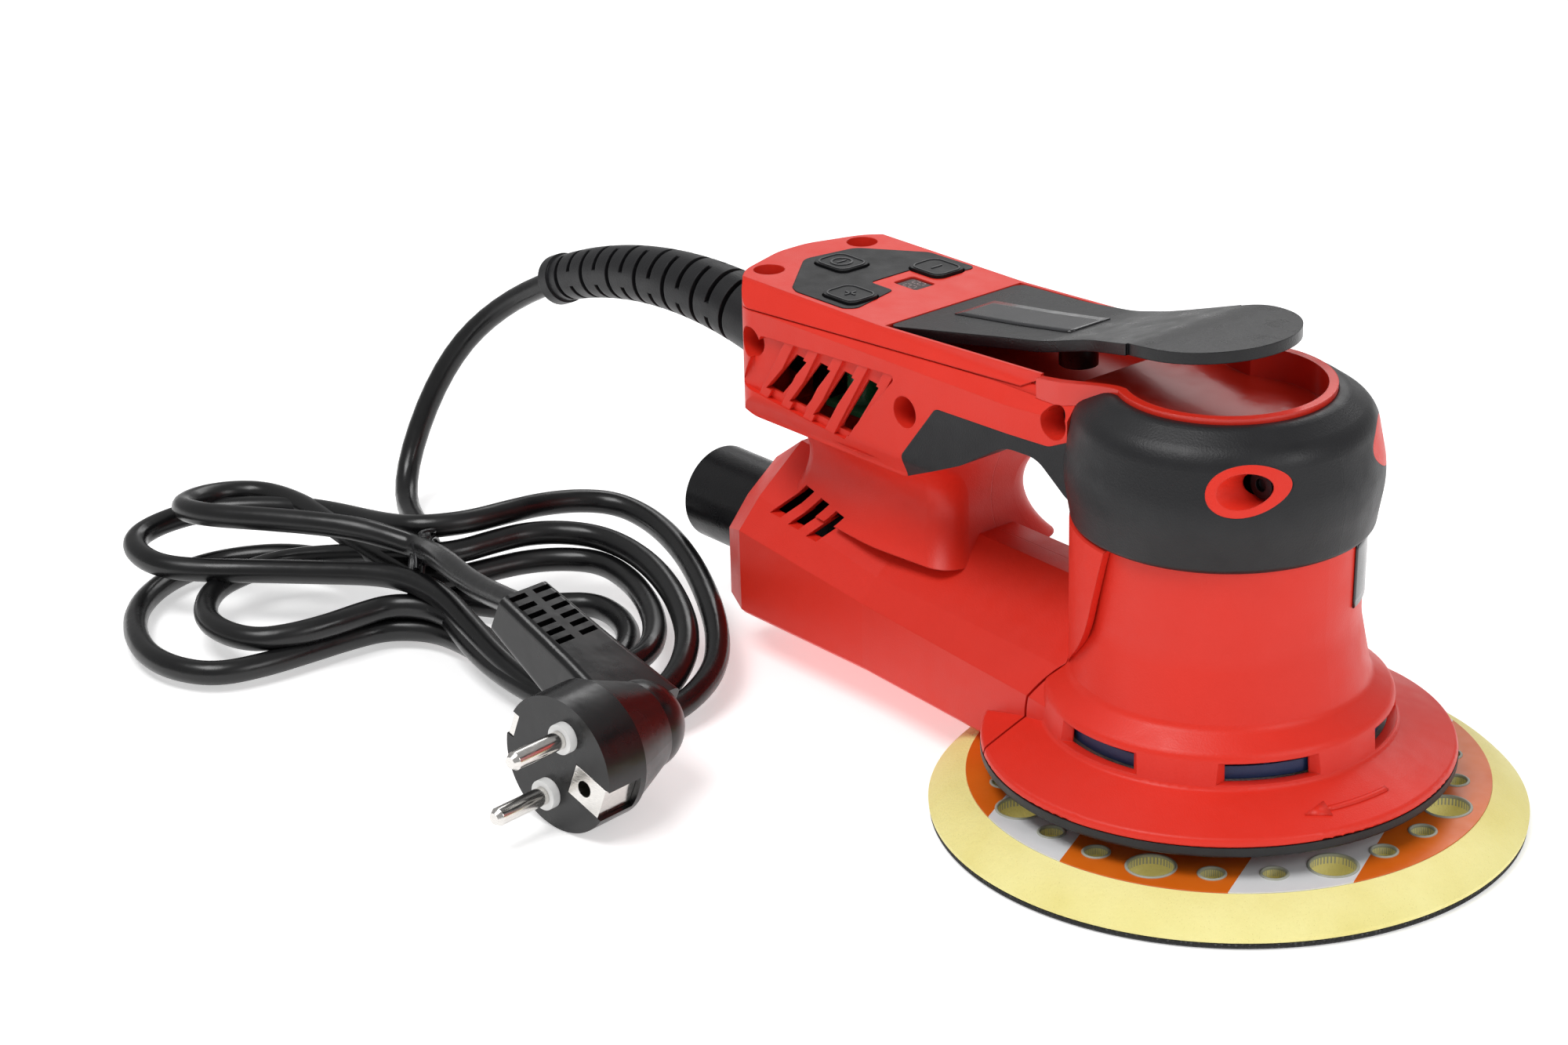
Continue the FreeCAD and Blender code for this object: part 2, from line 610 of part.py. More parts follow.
def head_core():
    """Ring inside the grip band, and the shoulder under the dish."""
    inner = MOTOR_BORE
    outer = BAND_INNER_RADIUS - 0.1
    return lathe([(inner, NECK_TOP + 0.3), (outer, NECK_TOP + 0.3), (outer, 104), (RIM_RADIUS + 0.2, 110),
                  (RIM_RADIUS + 0.2, 106), (inner, 101.5)])


def rubber_region():
    """Side outline of the rubber on the arm."""
    return prism([(-84, 70), (-84, 78.5, 3), (-71, 94.6, 3), (-31, 95.6, 6), (ARM_END, 98.5), (ARM_END, 70)],
                 "y", -60, 60)


def arm_skin():
    return tail_form(0.0).cut(tail_form(RUBBER)).common(rubber_region())


def dish_plan(grow, bottom, top):
    """Plan of the dish: a circle under the lever's tip and a channel back to the cover."""
    half = CHANNEL_HALF_WIDTH + grow
    wide = half + 3.0
    channel = prism(mirrored_y([(DISH_REAR, wide), (-30, wide, 14), (-14, half, 14), (0, half)]), "z",
                    bottom, top)
    return union([disc(RIM_INNER_RADIUS + grow, bottom, top), channel])


def head_dish():
    """Shallow dish on the head with a raised rim, open towards the recess under the lever."""
    rim = RIM_RADIUS - RIM_INNER_RADIUS
    profile = prism([(COVER_FRONT, DISH_BOTTOM), (40, DISH_BOTTOM), (40, RIM_TOP), (-16, RIM_TOP, 40),
                     (COVER_FRONT, BODY_TOP + 2.2)], "y", -40, 40)
    body = dish_plan(rim, DISH_BOTTOM, RIM_TOP).common(profile)
    return body.cut(dish_plan(0.0, DISH_FLOOR, 130)).cut(screw_hole(*BODY_SCREWS[2]))


def front_boss(grow=0.0):
    """Round boss of the body that shows through the grip band, with a screw in it."""
    x, z, seat = BODY_SCREWS[-1]
    boss = rod(V(x, -60, z), V(x, 60, z), FRONT_BOSS_RADIUS + grow)
    return boss.cut(disc(MOTOR_BORE, 0, 130))


def grip_band():
    """The part of the band that is rubber: all of it but the stretch where the arm comes in."""
    return band_form().cut(block(-80, ARM_END, -60, 60, ARM_BOTTOM, 130))


def body_form():
    """Both body shells before they are hollowed and split."""
    neck = housing_outer(0.1).common(disc(FLANGE_RADIUS + 5, SLOT_WALL_TOP, NECK_TOP + 1))
    duct = duct_outer().cut(ahead_of_seam()).cut(neck).cut(disc(FLANGE_RADIUS - SEAL_WIDTH, 0, FLANGE_BOTTOM))
    flange = housing_outer().common(disc(FLANGE_RADIUS + 5, 0, SLOT_WALL_TOP)).cut(ahead_of_seam())
    tail = tail_form(0.0).cut(above_cover_seam(-SEAM_GAP)).cut(arm_skin())
    head = disc(BAND_RADIUS + 10, 0, 130)
    in_band = block(ARM_END - SEAM_GAP, 0, -60, 60, 60, 130).cut(disc(BAND_INNER_RADIUS - 0.1, 0, 130))
    arm_in_head = tail.common(head).cut(disc(MOTOR_BORE, 0, 130)).cut(grip_band()).cut(in_band)
    boss = front_boss().common(band_form(MOTOR_BORE + 0.5))
    column = column_form(0.0).cut(arm_skin())
    return union([duct, flange, column, tail.cut(head), arm_in_head, strap().cut(neck), head_core(), boss])


def body_cavity():
    tail = tail_form(WALL).common(block(-170, COVER_FRONT + 2, -40, 40, 60, 130))
    duct = duct_inner(0.0).common(block(-170, DUCT_FRONT + 1, -40, 40, 0, 60))
    return union([tail, duct, column_form(WALL)])


def body_bosses():
    """Screw bosses across the tail, and the posts that the cover's screws go into."""
    form = tail_form(0.5)
    bosses = [rod(V(x, -40, z), V(x, 40, z), SCREW_BOSS_RADIUS).common(form) for x, z,
              seat in BODY_SCREWS[:2]]
    x, y = COVER_SCREW
    for side in (-y, y):
        bosses.append(disc(SCREW_BOSS_RADIUS, 60, COVER_POST_TOP, x, side).common(form))
    return bosses


def screw_shank(x, z, seat, radius):
    return rod(V(x, -seat - 1, z), V(x, SCREW_END, z), radius)


def screw_hole(x, z, seat):
    """Hole for a screw along Y, with a deep recess for its head."""
    recess = rod(V(x, -60, z), V(x, -seat, z), SCREW_HOLE_RADIUS)
    return recess.fuse(screw_shank(x, z, seat, SCREW_SHANK_RADIUS + SCREW_CLEARANCE))


def body_screws():
    screws = []
    for x, z, seat in BODY_SCREWS:
        head = rod(V(x, -seat - SCREW_HEAD_HEIGHT, z), V(x, -seat, z), SCREW_HEAD_RADIUS)
        socket = rod(V(x, -60, z), V(x, -seat - 1.2, z), 1.6)
        screws.append(head.fuse(screw_shank(x, z, seat, SCREW_SHANK_RADIUS)).cut(socket))
    return screws


def side_vents():
    """Four slanting slots through each side of the tail."""
    slots = []
    for k in range(VENTS):
        x = VENT_START + VENT_PITCH * k
        low = 82.1 - 1.2 * k
        high = 94.2 + 0.2 * k
        slots.append(prism([(x, low), (x + VENT_WIDTH, low - 0.6), (x + VENT_WIDTH + VENT_LEAN, high - 0.6),
                            (x + VENT_LEAN, high)], "y", -40, 40))
    return slots


def vent_panels():
    """Sunken slanting panels that the side slots lie in."""
    corners = [(-148.7, 80.5, 1), (-106.4, 76.2, 1), (-85.5, 99.2, 1), (-138.8, 96.4, 1)]
    return [prism(corners, "y", side * (BODY_HALF_WIDTH - VENT_DEPTH), side * (BODY_HALF_WIDTH + 1))
            for side in (-1, 1)]


def vent_ribs():
    """Bars between the slots, nearly flush with the side."""
    ribs = []
    width = VENT_PITCH - VENT_WIDTH - 0.5
    for k in range(VENTS + 1):
        x = VENT_START + VENT_PITCH * k - width - 0.25
        bar = [(x - 2, 75), (x + width - 2, 75), (x + width + VENT_LEAN + 2, 99.5), (x + VENT_LEAN + 2, 99.5)]
        for side in (-1, 1):
            ribs.append(prism(bar, "y", side * (BODY_HALF_WIDTH - VENT_DEPTH - 0.8),
                              side * (BODY_HALF_WIDTH - 0.4)))
    return union(ribs).common(union(vent_panels())).common(tail_form(0.0))


def duct_slots():
    """Three slanting slots on each shoulder of the duct."""
    slots = []
    for k in range(3):
        x = -144.5 + 7.8 * k
        z = 42.6 - 1.0 * k
        slot = prism([(x, z), (x + 4.2, z - 0.3), (x + 10.4, z + 7.2), (x + 6.2, z + 7.6)], "y", -40, 40)
        slots.append(slot.cut(block(-170, 0, -13, 13, 0, 100)))
    return slots


def body_shell(side):
    """One half of the body. side is -1 for the half with the screw heads and +1 for the other."""
    form = union([body_form().cut(body_cavity())] + body_bosses())
    dish = dish_plan(RIM_RADIUS - RIM_INNER_RADIUS, DISH_BOTTOM, 130)
    for cut in vent_panels():
        form = form.cut(cut)
    form = form.fuse(vent_ribs())
    cuts = side_vents() + duct_slots() + [screw_hole(*screw) for screw in BODY_SCREWS] + cover_screw_holes()
    cuts += [housing_inner(), cover_tray_space(), dish, hose_bore(), boot_bore()]
    for cut in cuts:
        form = form.cut(cut)
    half = block(-200, 80, min(0, side * 80), max(0, side * 80), 0, 140)
    return form.common(half)


def hose_bore():
    return rod(V(DUCT_REAR - 5, 0, HOSE_HEIGHT), V(DUCT_REAR + HOSE_SEAT, 0, HOSE_HEIGHT), HOSE_RADIUS)


def hose_connector():
    """Tube at the duct's rear that the suction hose goes on."""
    start = V(HOSE_END, 0, HOSE_HEIGHT)
    tube = rod(start, V(DUCT_REAR + HOSE_SEAT, 0, HOSE_HEIGHT), HOSE_RADIUS)
    return tube.cut(rod(start - V(1, 0, 0), V(DUCT_REAR + HOSE_SEAT + 1, 0, HOSE_HEIGHT), HOSE_BORE))


# ================================================================ top cover and panel
def on_top(corners, bottom, top):
    return prism(corners, "z", bottom, top)


def rounded_box(x, y, length, width, radius, bottom, top):
    """Upright block with rounded corners, centred on x and y."""
    a = length / 2
    b = width / 2
    return on_top([(x - a, y - b, radius), (x + a, y - b, radius), (x + a, y + b, radius),
                   (x - a, y + b, radius)],
                  bottom, top)


def lever_recess():
    return block(LEVER_REAR - LEVER_GAP, COVER_FRONT + 5, -LEVER_HALF_WIDTH - LEVER_GAP,
                 LEVER_HALF_WIDTH + LEVER_GAP,
                 RECESS_FLOOR, 130)


def cover_tray():
    """Tray under the lever, let into the body."""
    x0 = LEVER_REAR - LEVER_GAP - WALL
    y1 = LEVER_HALF_WIDTH + LEVER_GAP + WALL
    return block(x0, COVER_FRONT, -y1, y1, RECESS_FLOOR - WALL, COVER_SEAM_FRONT + 1).common(tail_form(0.6))


def cover_tray_space():
    x0 = LEVER_REAR - LEVER_GAP - WALL - SEAM_GAP
    y1 = LEVER_HALF_WIDTH + LEVER_GAP + WALL + SEAM_GAP
    return block(x0, DISH_REAR, -y1, y1, RECESS_FLOOR - WALL - SEAM_GAP, 130)


PANEL_CORNERS = [(-134.8, -21.6, 3), (-150, -4.5, 5), (-147.5, 11.5, 5), (-130.5, 23.3, 5), (-112.4, 23.6, 2),
                 (-114.6, 12.0, 1.5), (-123.4, 11.6, 1.5), (-123.4, -4.4, 1.5), (-114.5, -4.4, 1.5),
                 (-110.4, -20.6, 3), (-113.0, -23.0, 2), (-131.5, -23.2, 4)]


def button_openings(grow, bottom, top):
    return [rounded_box(x, y, BUTTON_LENGTH + 2 * grow, BUTTON_WIDTH + 2 * grow, 2.6 + grow, bottom, top)
            for x, y in BUTTONS.values()]


def display_seat(shrink, bottom, top):
    return rounded_box(DISPLAY_X, 3.6, DISPLAY_LENGTH - 2 * shrink, DISPLAY_WIDTH - 2 * shrink, 1.0, bottom,
                       top)


def cover_screw_holes():
    """Head recesses and shank holes for the cover's two screws."""
    x, y = COVER_SCREW
    holes = []
    for side in (-y, y):
        holes.append(disc(SCREW_HOLE_RADIUS, COVER_SCREW_SEAT, 130, x, side))
        holes.append(disc(SCREW_SHANK_RADIUS + SCREW_CLEARANCE, COVER_POST_TOP - 14, 130, x, side))
    return holes


def cover_screws():
    x, y = COVER_SCREW
    screws = []
    for side in (-y, y):
        head = disc(SCREW_HEAD_RADIUS, COVER_SCREW_SEAT, COVER_SCREW_SEAT + SCREW_HEAD_HEIGHT, x, side)
        shank = disc(SCREW_SHANK_RADIUS, COVER_POST_TOP - 13, COVER_SCREW_SEAT + 1, x, side)
        socket = disc(1.6, COVER_SCREW_SEAT + 1.2, 130, x, side)
        screws.append(head.fuse(shank).cut(socket))
    return screws


def top_cover():
    """Cover of the tail: a shell with the panel's pocket, and a tray that the lever moves in."""
    form = tail_form(0.0).common(above_cover_seam())
    shell = form.cut(tail_form(WALL).common(block(-170, COVER_FRONT - WALL, -40, 40, 60, 130)))
    x, y = COVER_SCREW
    wall = tail_form(0.0).cut(tail_form(WALL + SEAM_GAP)).cut(above_cover_seam())
    posts = [disc(SCREW_BOSS_RADIUS, COVER_POST_TOP + SEAM_GAP, BODY_TOP - 1, x, side) for side in (-y, y)]
    posts = [post.common(tail_form(0.5)).cut(wall) for post in posts]
    cover = union([shell, cover_tray()] + posts).cut(lever_recess())
    cuts = [on_top(PANEL_CORNERS, PANEL_BOTTOM, 130), display_seat(0.0, PANEL_BOTTOM, 130),
            display_seat(1.2, 100, 130)]
    cuts += button_openings(BUTTON_CLEARANCE, 100, 130) + cover_screw_holes() + [lever_pin()]
    for cut in cuts:
        cover = cover.cut(cut)
    return cover


def control_panel():
    """Thin plate around the three buttons."""
    plate = on_top(PANEL_CORNERS, PANEL_BOTTOM, BODY_TOP + PANEL_PROUD)
    for opening in button_openings(BUTTON_CLEARANCE, 100, 130):
        plate = plate.cut(opening)
    return plate.cut(display_seat(0.0, 100, 130))


def display_window():
    return display_seat(0.0, PANEL_BOTTOM, BODY_TOP + PANEL_PROUD - WINDOW_SINK)


def display_module():
    return rounded_box(DISPLAY_X, 3.6, DISPLAY_LENGTH + 1, DISPLAY_WIDTH + 1, 0.4, BOARD_TOP,
                       BODY_TOP - WALL - 0.3)


def button(name):
    """Cap with a flange under the cover and a stem over its switch."""
    x, y = BUTTONS[name]
    under = BODY_TOP - WALL
    cap = rounded_box(x, y, BUTTON_LENGTH, BUTTON_WIDTH, 2.6, under - 1.6,
                      BODY_TOP + PANEL_PROUD + BUTTON_PROUD)
    flange = rounded_box(x, y, BUTTON_LENGTH + 2.4, BUTTON_WIDTH + 2.4, 3.4, under - 1.6, under - 0.1)
    stem = disc(1.6, SWITCH_TOP + BUTTON_TRAVEL + 0.1, under - 1, x, y)
    return union([cap, flange, stem])


def control_board():
    """Board under the panel with a switch for each button."""
    board = block(-144.8, -107.0, -21.5, 21.5, BOARD_TOP - 1.6, BOARD_TOP)
    switches = [rounded_box(x, y, 6.0, 6.0, 0.4, BOARD_TOP - 0.5, SWITCH_TOP - 0.5) for x,
                y in BUTTONS.values()]
    plungers = [disc(1.7, SWITCH_TOP - 1, SWITCH_TOP, x, y) for x, y in BUTTONS.values()]
    return union([board] + switches + plungers)


def motor_controller():
    """Board of the motor drive with its capacitors, chokes and a heat sink."""
    low = 78.5
    board = block(-124.0, -91.0, -20.0, 20.0, low, low + 1.6)
    capacitors = [disc(5.0, low + 1, low + 15.5, -117.0, y) for y in (-12.0, 0.0, 12.0)]
    sink = block(-108.0, -96.0, -16.0, 16.0, low + 1, low + 4)
    fins = [block(-108.0, -96.0, y - 0.8, y + 0.8, low + 3, low + 13.5) for y in range(-15, 16, 5)]
    return union([board, sink] + capacitors + fins)


def hall_sensor():
    """Sensor under the tray that reads the magnet in the lever."""
    x = LEVER_BOSS_X
    return block(x - 4, x + 4, -5, 5, RECESS_FLOOR - WALL - 1.6, RECESS_FLOOR - WALL)


# ================================================================ lever
LEVER_TOP = [(LEVER_REAR, BODY_TOP - 0.1), (-66, BODY_TOP + 3.7, 160), (-46.5, BODY_TOP + 6.6, 60),
             (-9, BODY_TOP + 16.8, 60), (LEVER_TIP_X + LEVER_TIP_RADIUS + 1, BODY_TOP + LEVER_RISE)]


def lever_plan():
    """Plan of the lever: a wide heel, a waist and a round tip."""
    heel = on_top(mirrored_y([(LEVER_REAR, LEVER_HALF_WIDTH, 2.5), (-64, 17.6, 60), (-47, 16.0, 60),
                              (-32, LEVER_WAIST, 24),
                              (-14, 20.0)]), 100, 140)
    tip = disc(LEVER_TIP_RADIUS, 100, 140, LEVER_TIP_X, 0)
    return union([heel, tip])


def lever_layer(drop, depth):
    """Slab that follows the lever's top line, from drop below it to depth below it."""
    upper = [(p[0], p[1] - drop) + tuple(p[2:]) for p in LEVER_TOP]
    lower = [(p[0], p[1] - depth) + tuple(p[2:]) for p in reversed(LEVER_TOP)]
    return prism(upper + lower, "y", -40, 40)


def lever_knuckles(radius):
    return [rod(V(LEVER_PIVOT_X, y0, LEVER_PIVOT_Z), V(LEVER_PIVOT_X, y0 + 6, LEVER_PIVOT_Z), radius)
            for y0 in (-18, 12)]


def lever():
    """Paddle with a skirt, two knuckles on the pin and a boss for the magnet."""
    plan = lever_plan()
    plate = plan.common(lever_layer(0.0, LEVER_THICKNESS))
    webs = [block(LEVER_PIVOT_X - 2.2, LEVER_PIVOT_X + 2.2, y0, y0 + 6, LEVER_PIVOT_Z, LEVER_PIVOT_Z + 4)
            for y0 in (-18, 12)]
    boss = disc(LEVER_BOSS_RADIUS, LEVER_BOSS_BOTTOM, BODY_TOP + 4, LEVER_BOSS_X, 0)
    rib = block(-78, -12, -1.2, 1.2, 100, 140).common(lever_layer(LEVER_THICKNESS - 1, LEVER_THICKNESS + 2.4))
    whole = union([plate, boss, rib] + webs + lever_knuckles(KNUCKLE_RADIUS))
    sleeve = rod(V(LEVER_PIVOT_X, -30, LEVER_PIVOT_Z), V(LEVER_PIVOT_X, 30, LEVER_PIVOT_Z),
                 PIN_RADIUS + PIN_CLEARANCE)
    return whole.cut(sleeve).cut(lever_magnet())


def lever_magnet():
    return disc(2.5, LEVER_BOSS_BOTTOM, LEVER_BOSS_BOTTOM + 3, LEVER_BOSS_X, 0)


def lever_pin():
    half = LEVER_HALF_WIDTH + LEVER_GAP + 1.6
    return rod(V(LEVER_PIVOT_X, -half, LEVER_PIVOT_Z), V(LEVER_PIVOT_X, half, LEVER_PIVOT_Z), PIN_RADIUS)


def lever_spring():
    """Torsion spring around the pin, with one leg to the tray and one to the lever."""
    radius = PIN_RADIUS + 0.2 + SPRING_WIRE_RADIUS
    length = SPRING_TURNS * SPRING_PITCH
    start = V(LEVER_PIVOT_X + radius, length / 2, LEVER_PIVOT_Z)
    helix = Part.makeHelix(SPRING_PITCH, length, radius)
    helix.rotate(V(0, 0, 0), V(1, 0, 0), 90)
    helix.translate(V(LEVER_PIVOT_X, length / 2, LEVER_PIVOT_Z))
    section = Part.Wire(Part.makeCircle(SPRING_WIRE_RADIUS, start, UP))
    coil = Part.Wire(helix).makePipeShell([section], True, True)
    lower_leg = rod(start - UP * 2.2, start + UP * 0.1, SPRING_WIRE_RADIUS)
    end = start - V(0, length, 0)
    upper_leg = rod(end - UP * 0.1, end + UP * 1.6, SPRING_WIRE_RADIUS)
    return [coil, lower_leg, upper_leg]


# ================================================================ grip
def band_form(inner=BAND_INNER_RADIUS):
    """The bulging band around the head, filled down to an inner radius."""
    return lathe([(inner, BAND_BOTTOM + 1), (BAND_INNER_RADIUS + 0.6, BAND_BOTTOM),
                  (BAND_RADIUS - 1.6, BAND_BOTTOM + 0.8, 1.6), (BAND_RADIUS + 0.7, BAND_WIDEST - 3, 26),
                  (BAND_RADIUS - 2.2, 107.6, 8), (RIM_RADIUS + 1.8, 112.9, 4), (RIM_RADIUS + 0.1, 112.6),
                  (RIM_RADIUS + 0.1, 110.2), (inner, 104.2)])


def grip(side):
    """Rubber of one side: half the band around the head, and a skin under and beside the arm."""
    dish = dish_plan(RIM_RADIUS - RIM_INNER_RADIUS, 100, 130)
    band = grip_band().cut(strap()).cut(front_boss()).cut(dish)
    skin = arm_skin().cut(disc(BAND_INNER_RADIUS, 0, 130)).cut(strap())
    half = block(-100, 60, min(0, side * 60), max(0, side * 60), 60, 130)
    return union([band, skin]).common(half)


# ================================================================ cord
def boot_path():
    return Part.Arc(BOOT_BASE, BOOT_MIDDLE, BOOT_END).toShape()


def along(edge, share):
    """Point and direction at a share of the way along an edge."""
    place = edge.FirstParameter + (edge.LastParameter - edge.FirstParameter) * share
    return edge.valueAt(place), edge.tangentAt(place)


def boot_radius(share):
    return BOOT_BASE_RADIUS + (BOOT_END_RADIUS - BOOT_BASE_RADIUS) * share


def boot_bore():
    return rod(BOOT_BASE - V(10, 0, 0), BOOT_BASE + V(14, 0, 0), BOOT_ROOT_RADIUS)


def cable_boot():
    """Bend protection: a tapering sleeve with slots cut from alternate sides and a collar at its end."""
    path = boot_path()
    rings = []
    for step in range(7):
        point, direction = along(path, step / 6.0)
        rings.append(Part.Wire(Part.makeCircle(boot_radius(step / 6.0), point, direction)))
    sleeve = Part.makeLoft(rings, True, False)
    root = rod(BOOT_BASE + V(BOOT_ROOT, 0, 0), BOOT_BASE, BOOT_ROOT_RADIUS)
    end, direction = along(path, 1.0)
    collar = rod(end - direction * 4.0, end, BOOT_COLLAR_RADIUS)
    whole = union([sleeve, root, collar])
    for k in range(BOOT_SLOTS):
        share = 0.17 + 0.75 * k / (BOOT_SLOTS - 1)
        point, direction = along(path, share)
        low = point - direction * 0.9
        high = point + direction * 0.9
        groove = rod(low, high, boot_radius(share) + 3).cut(rod(low, high, 4.4))
        across = V(0, 1, 0) if k % 2 else direction.cross(V(0, 1, 0))
        web = rod(point - across * 20, point + across * 20, 2.2)
        whole = whole.cut(groove.cut(web))
    return whole


def inner_cord():
    return rod(BOOT_BASE + V(BOOT_ROOT, 0, 0), BOOT_BASE + V(BOOT_ROOT + 20, 0, 0), CORD_DIAMETER / 2)


def cable_clamp():
    """Saddle that holds the cord inside the tail."""
    x = BOOT_BASE.x + BOOT_ROOT + 8
    z = BOOT_BASE.z
    saddle = block(x, x + 7, -9, 9, z - 8.0, z + 5.5)
    return saddle.cut(rod(V(x - 1, 0, z), V(x + 8, 0, z), CORD_DIAMETER / 2))


def cord(route, name):
    """Round cord along a route of straight runs joined by tangent arcs."""
    points = [V(*p) for p in route]
    radii = [0.0] * len(points)
    for i in range(1, len(points) - 1):
        back = points[i - 1] - points[i]
        ahead = points[i + 1] - points[i]
        half_turn = (math.pi - back.getAngle(ahead)) / 2
        radii[i] = 0.45 * min(back.Length, ahead.Length) / math.tan(half_turn)
    path = Part.Wire(rounded_path(points, radii, False))
    start = Part.Wire(Part.makeCircle(CORD_DIAMETER / 2, points[0], points[1] - points[0]))
    tube = path.makePipeShell([start], True, True)
    expected = path.Length * math.pi * (CORD_DIAMETER / 2) ** 2
    print(name, "bend radii", [round(r, 1) for r in radii[1:-1]], "length", round(path.Length, 1),
          "volume over section times length", round(tube.Volume / expected, 4))
    return tube


def at_hank(shape):
    """Turns and moves a shape drawn around the origin to where the hank lies."""
    shape.rotate(V(0, 0, 0), UP, HANK_ANGLE)
    shape.translate(HANK_CENTRE)
    return shape


def cord_coil():
    """Outer form of the folded hank: two lobes and a waist where the tie holds it."""
    return at_hank(on_top(HANK_OUTLINE, HANK_BOTTOM, HANK_BOTTOM + HANK_HEIGHT))


def cord_tie():
    """Strap around the hank's waist."""
    low = HANK_BOTTOM
    high = HANK_BOTTOM + HANK_HEIGHT
    half = HANK_WAIST + TIE_THICKNESS
    outside = block(-TIE_WIDTH / 2, TIE_WIDTH / 2, -half, half, low - TIE_THICKNESS, high + TIE_THICKNESS)
    inside = block(-TIE_WIDTH, TIE_WIDTH, -HANK_WAIST, HANK_WAIST, low, high)
    return at_hank(outside.cut(inside))


# ================================================================ plug
YAW = math.radians(PLUG_YAW)
TILT = math.radians(PLUG_TILT)
PIN_WAY = V(math.sin(YAW), -math.cos(YAW), 0)
CLIP_WAY = V(-math.cos(YAW) * math.cos(TILT), -math.sin(YAW) * math.cos(TILT), math.sin(TILT))
PIN_ROW = PIN_WAY.cross(CLIP_WAY)
GRIP_START = PLUG_FACE - PIN_WAY * 28.5
GRIP_END = V(*TAIL_ROUTE[-1])


def plug_place(ahead, across, along_row):
    return PLUG_FACE + PIN_WAY * ahead + CLIP_WAY * across + PIN_ROW * along_row


def tapered(start, start_radius, end, end_radius):
    return Part.makeCone(start_radius, end_radius, (end - start).Length, start, end - start)


def plug_block(ahead, across, along_row):
    """Block from three (low, high) pairs in the plug's own directions."""
    corners = [plug_place(ahead[0], a, r) for a, r in ((across[0], along_row[0]), (across[1], along_row[0]),
                                                       (across[1], along_row[1]), (across[0], along_row[1]))]
    return Part.Face(Part.makePolygon(corners + corners[:1])).extrude(PIN_WAY * (ahead[1] - ahead[0]))


def pin_rows():
    return (-PIN_SPACING / 2, PIN_SPACING / 2)


def earth_notches(grow=0.0):
    """Notch for the strip on one side of the rim, and the seat of the holed plate on the other."""
    g = grow
    strip = plug_block((-11 - g, 1), (PLUG_RADIUS - 2.6 - g, 25), (-3.6 - g, 3.6 + g))
    plate = plug_block((-1.2 - g, 1), (-16.6 - g, -EARTH_HOLE_ACROSS + 4.6 + g), (-4.8 - g, 4.8 + g))
    fold = plug_block((-11 - g, 1), (-25, -14.6 + g), (-4.8 - g, 4.8 + g))
    return [strip, plate, fold]


def earth_hole(radius, depth):
    return rod(plug_place(-depth, -EARTH_HOLE_ACROSS, 0), plug_place(1, -EARTH_HOLE_ACROSS, 0), radius)


def grip_section(share, half_wide, half_thick):
    """Rounded oblong across the grip, at a share of its length."""
    centre = GRIP_START + (GRIP_END - GRIP_START) * share
    way = unit(GRIP_END - GRIP_START)
    wide = unit(way.cross(PIN_ROW))
    thick = unit(way.cross(wide))
    corners = [(-half_wide, -half_thick, 2.5), (half_wide, -half_thick, 2.5), (half_wide, half_thick, 2.5),
               (-half_wide, half_thick, 2.5)]
    return outline(corners, lambda u, v: centre + wide * u + thick * v)


def grip_slots():
    """Two rows of slots across each broad side of the grip, which let it bend."""
    way = unit(GRIP_END - GRIP_START)
    wide = unit(way.cross(PIN_ROW))
    thick = unit(way.cross(wide))
    slots = []
    for k in range(6):
        point = GRIP_END - way * (3.0 + 3.7 * k)
        for row in (-1, 1):
            for face in (-1, 1):
                near = point + wide * (row * 1.3) + thick * (face * 4.3)
                far = near + wide * (row * 5.4)
                slot = Part.Face(Part.makePolygon([near, far, far + way * 1.8, near + way * 1.8, near]))
                slots.append(slot.extrude(thick * (face * 12)))
    return slots


def plug_body():
    """Round face, a thick back and a flat slotted grip that leans away from the pins."""
    face = rod(plug_place(-13, 0, 0), plug_place(0, 0, 0), PLUG_RADIUS)
    back = tapered(plug_place(-12.9, 0, 0), PLUG_RADIUS - 0.3, GRIP_START, 12.0)
    knob = Part.makeSphere(11.9, GRIP_START)
    handle = Part.makeLoft([grip_section(0.0, 11.5, 9.5), grip_section(0.45, 9.6, 8.2),
                            grip_section(1.0, 8.4, 6.2)],
                           True, True)
    whole = union([face, back, knob, handle])
    for cut in earth_notches() + grip_slots() + [earth_hole(EARTH_HOLE_RADIUS + EARTH_TUBE_WALL, 13)]:
        whole = whole.cut(cut)
    for row in pin_rows():
        whole = whole.cut(rod(plug_place(-6, 0, row), plug_place(1, 0, row), PIN_ROOT_RADIUS))
    return whole


def plug_pins():
    pins = []
    tip_start = PLUG_PIN_LENGTH - 1.4
    for row in pin_rows():
        root = rod(plug_place(-6, 0, row), plug_place(COLLAR_HEIGHT + 0.2, 0, row), PIN_ROOT_RADIUS)
        shank = rod(plug_place(COLLAR_HEIGHT + 0.1, 0, row), plug_place(tip_start, 0, row), PLUG_PIN_RADIUS)
        tip = tapered(plug_place(tip_start, 0, row), PLUG_PIN_RADIUS,
                      plug_place(PLUG_PIN_LENGTH, 0, row), PLUG_PIN_RADIUS - 0.9)
        pins.append(union([root, shank, tip]))
    return pins


def plug_collars():
    collars = []
    for row in pin_rows():
        collar = rod(plug_place(0, 0, row), plug_place(COLLAR_HEIGHT, 0, row), 4.0)
        collars.append(collar.cut(rod(plug_place(-1, 0, row), plug_place(4, 0, row), PIN_ROOT_RADIUS)))
    return collars


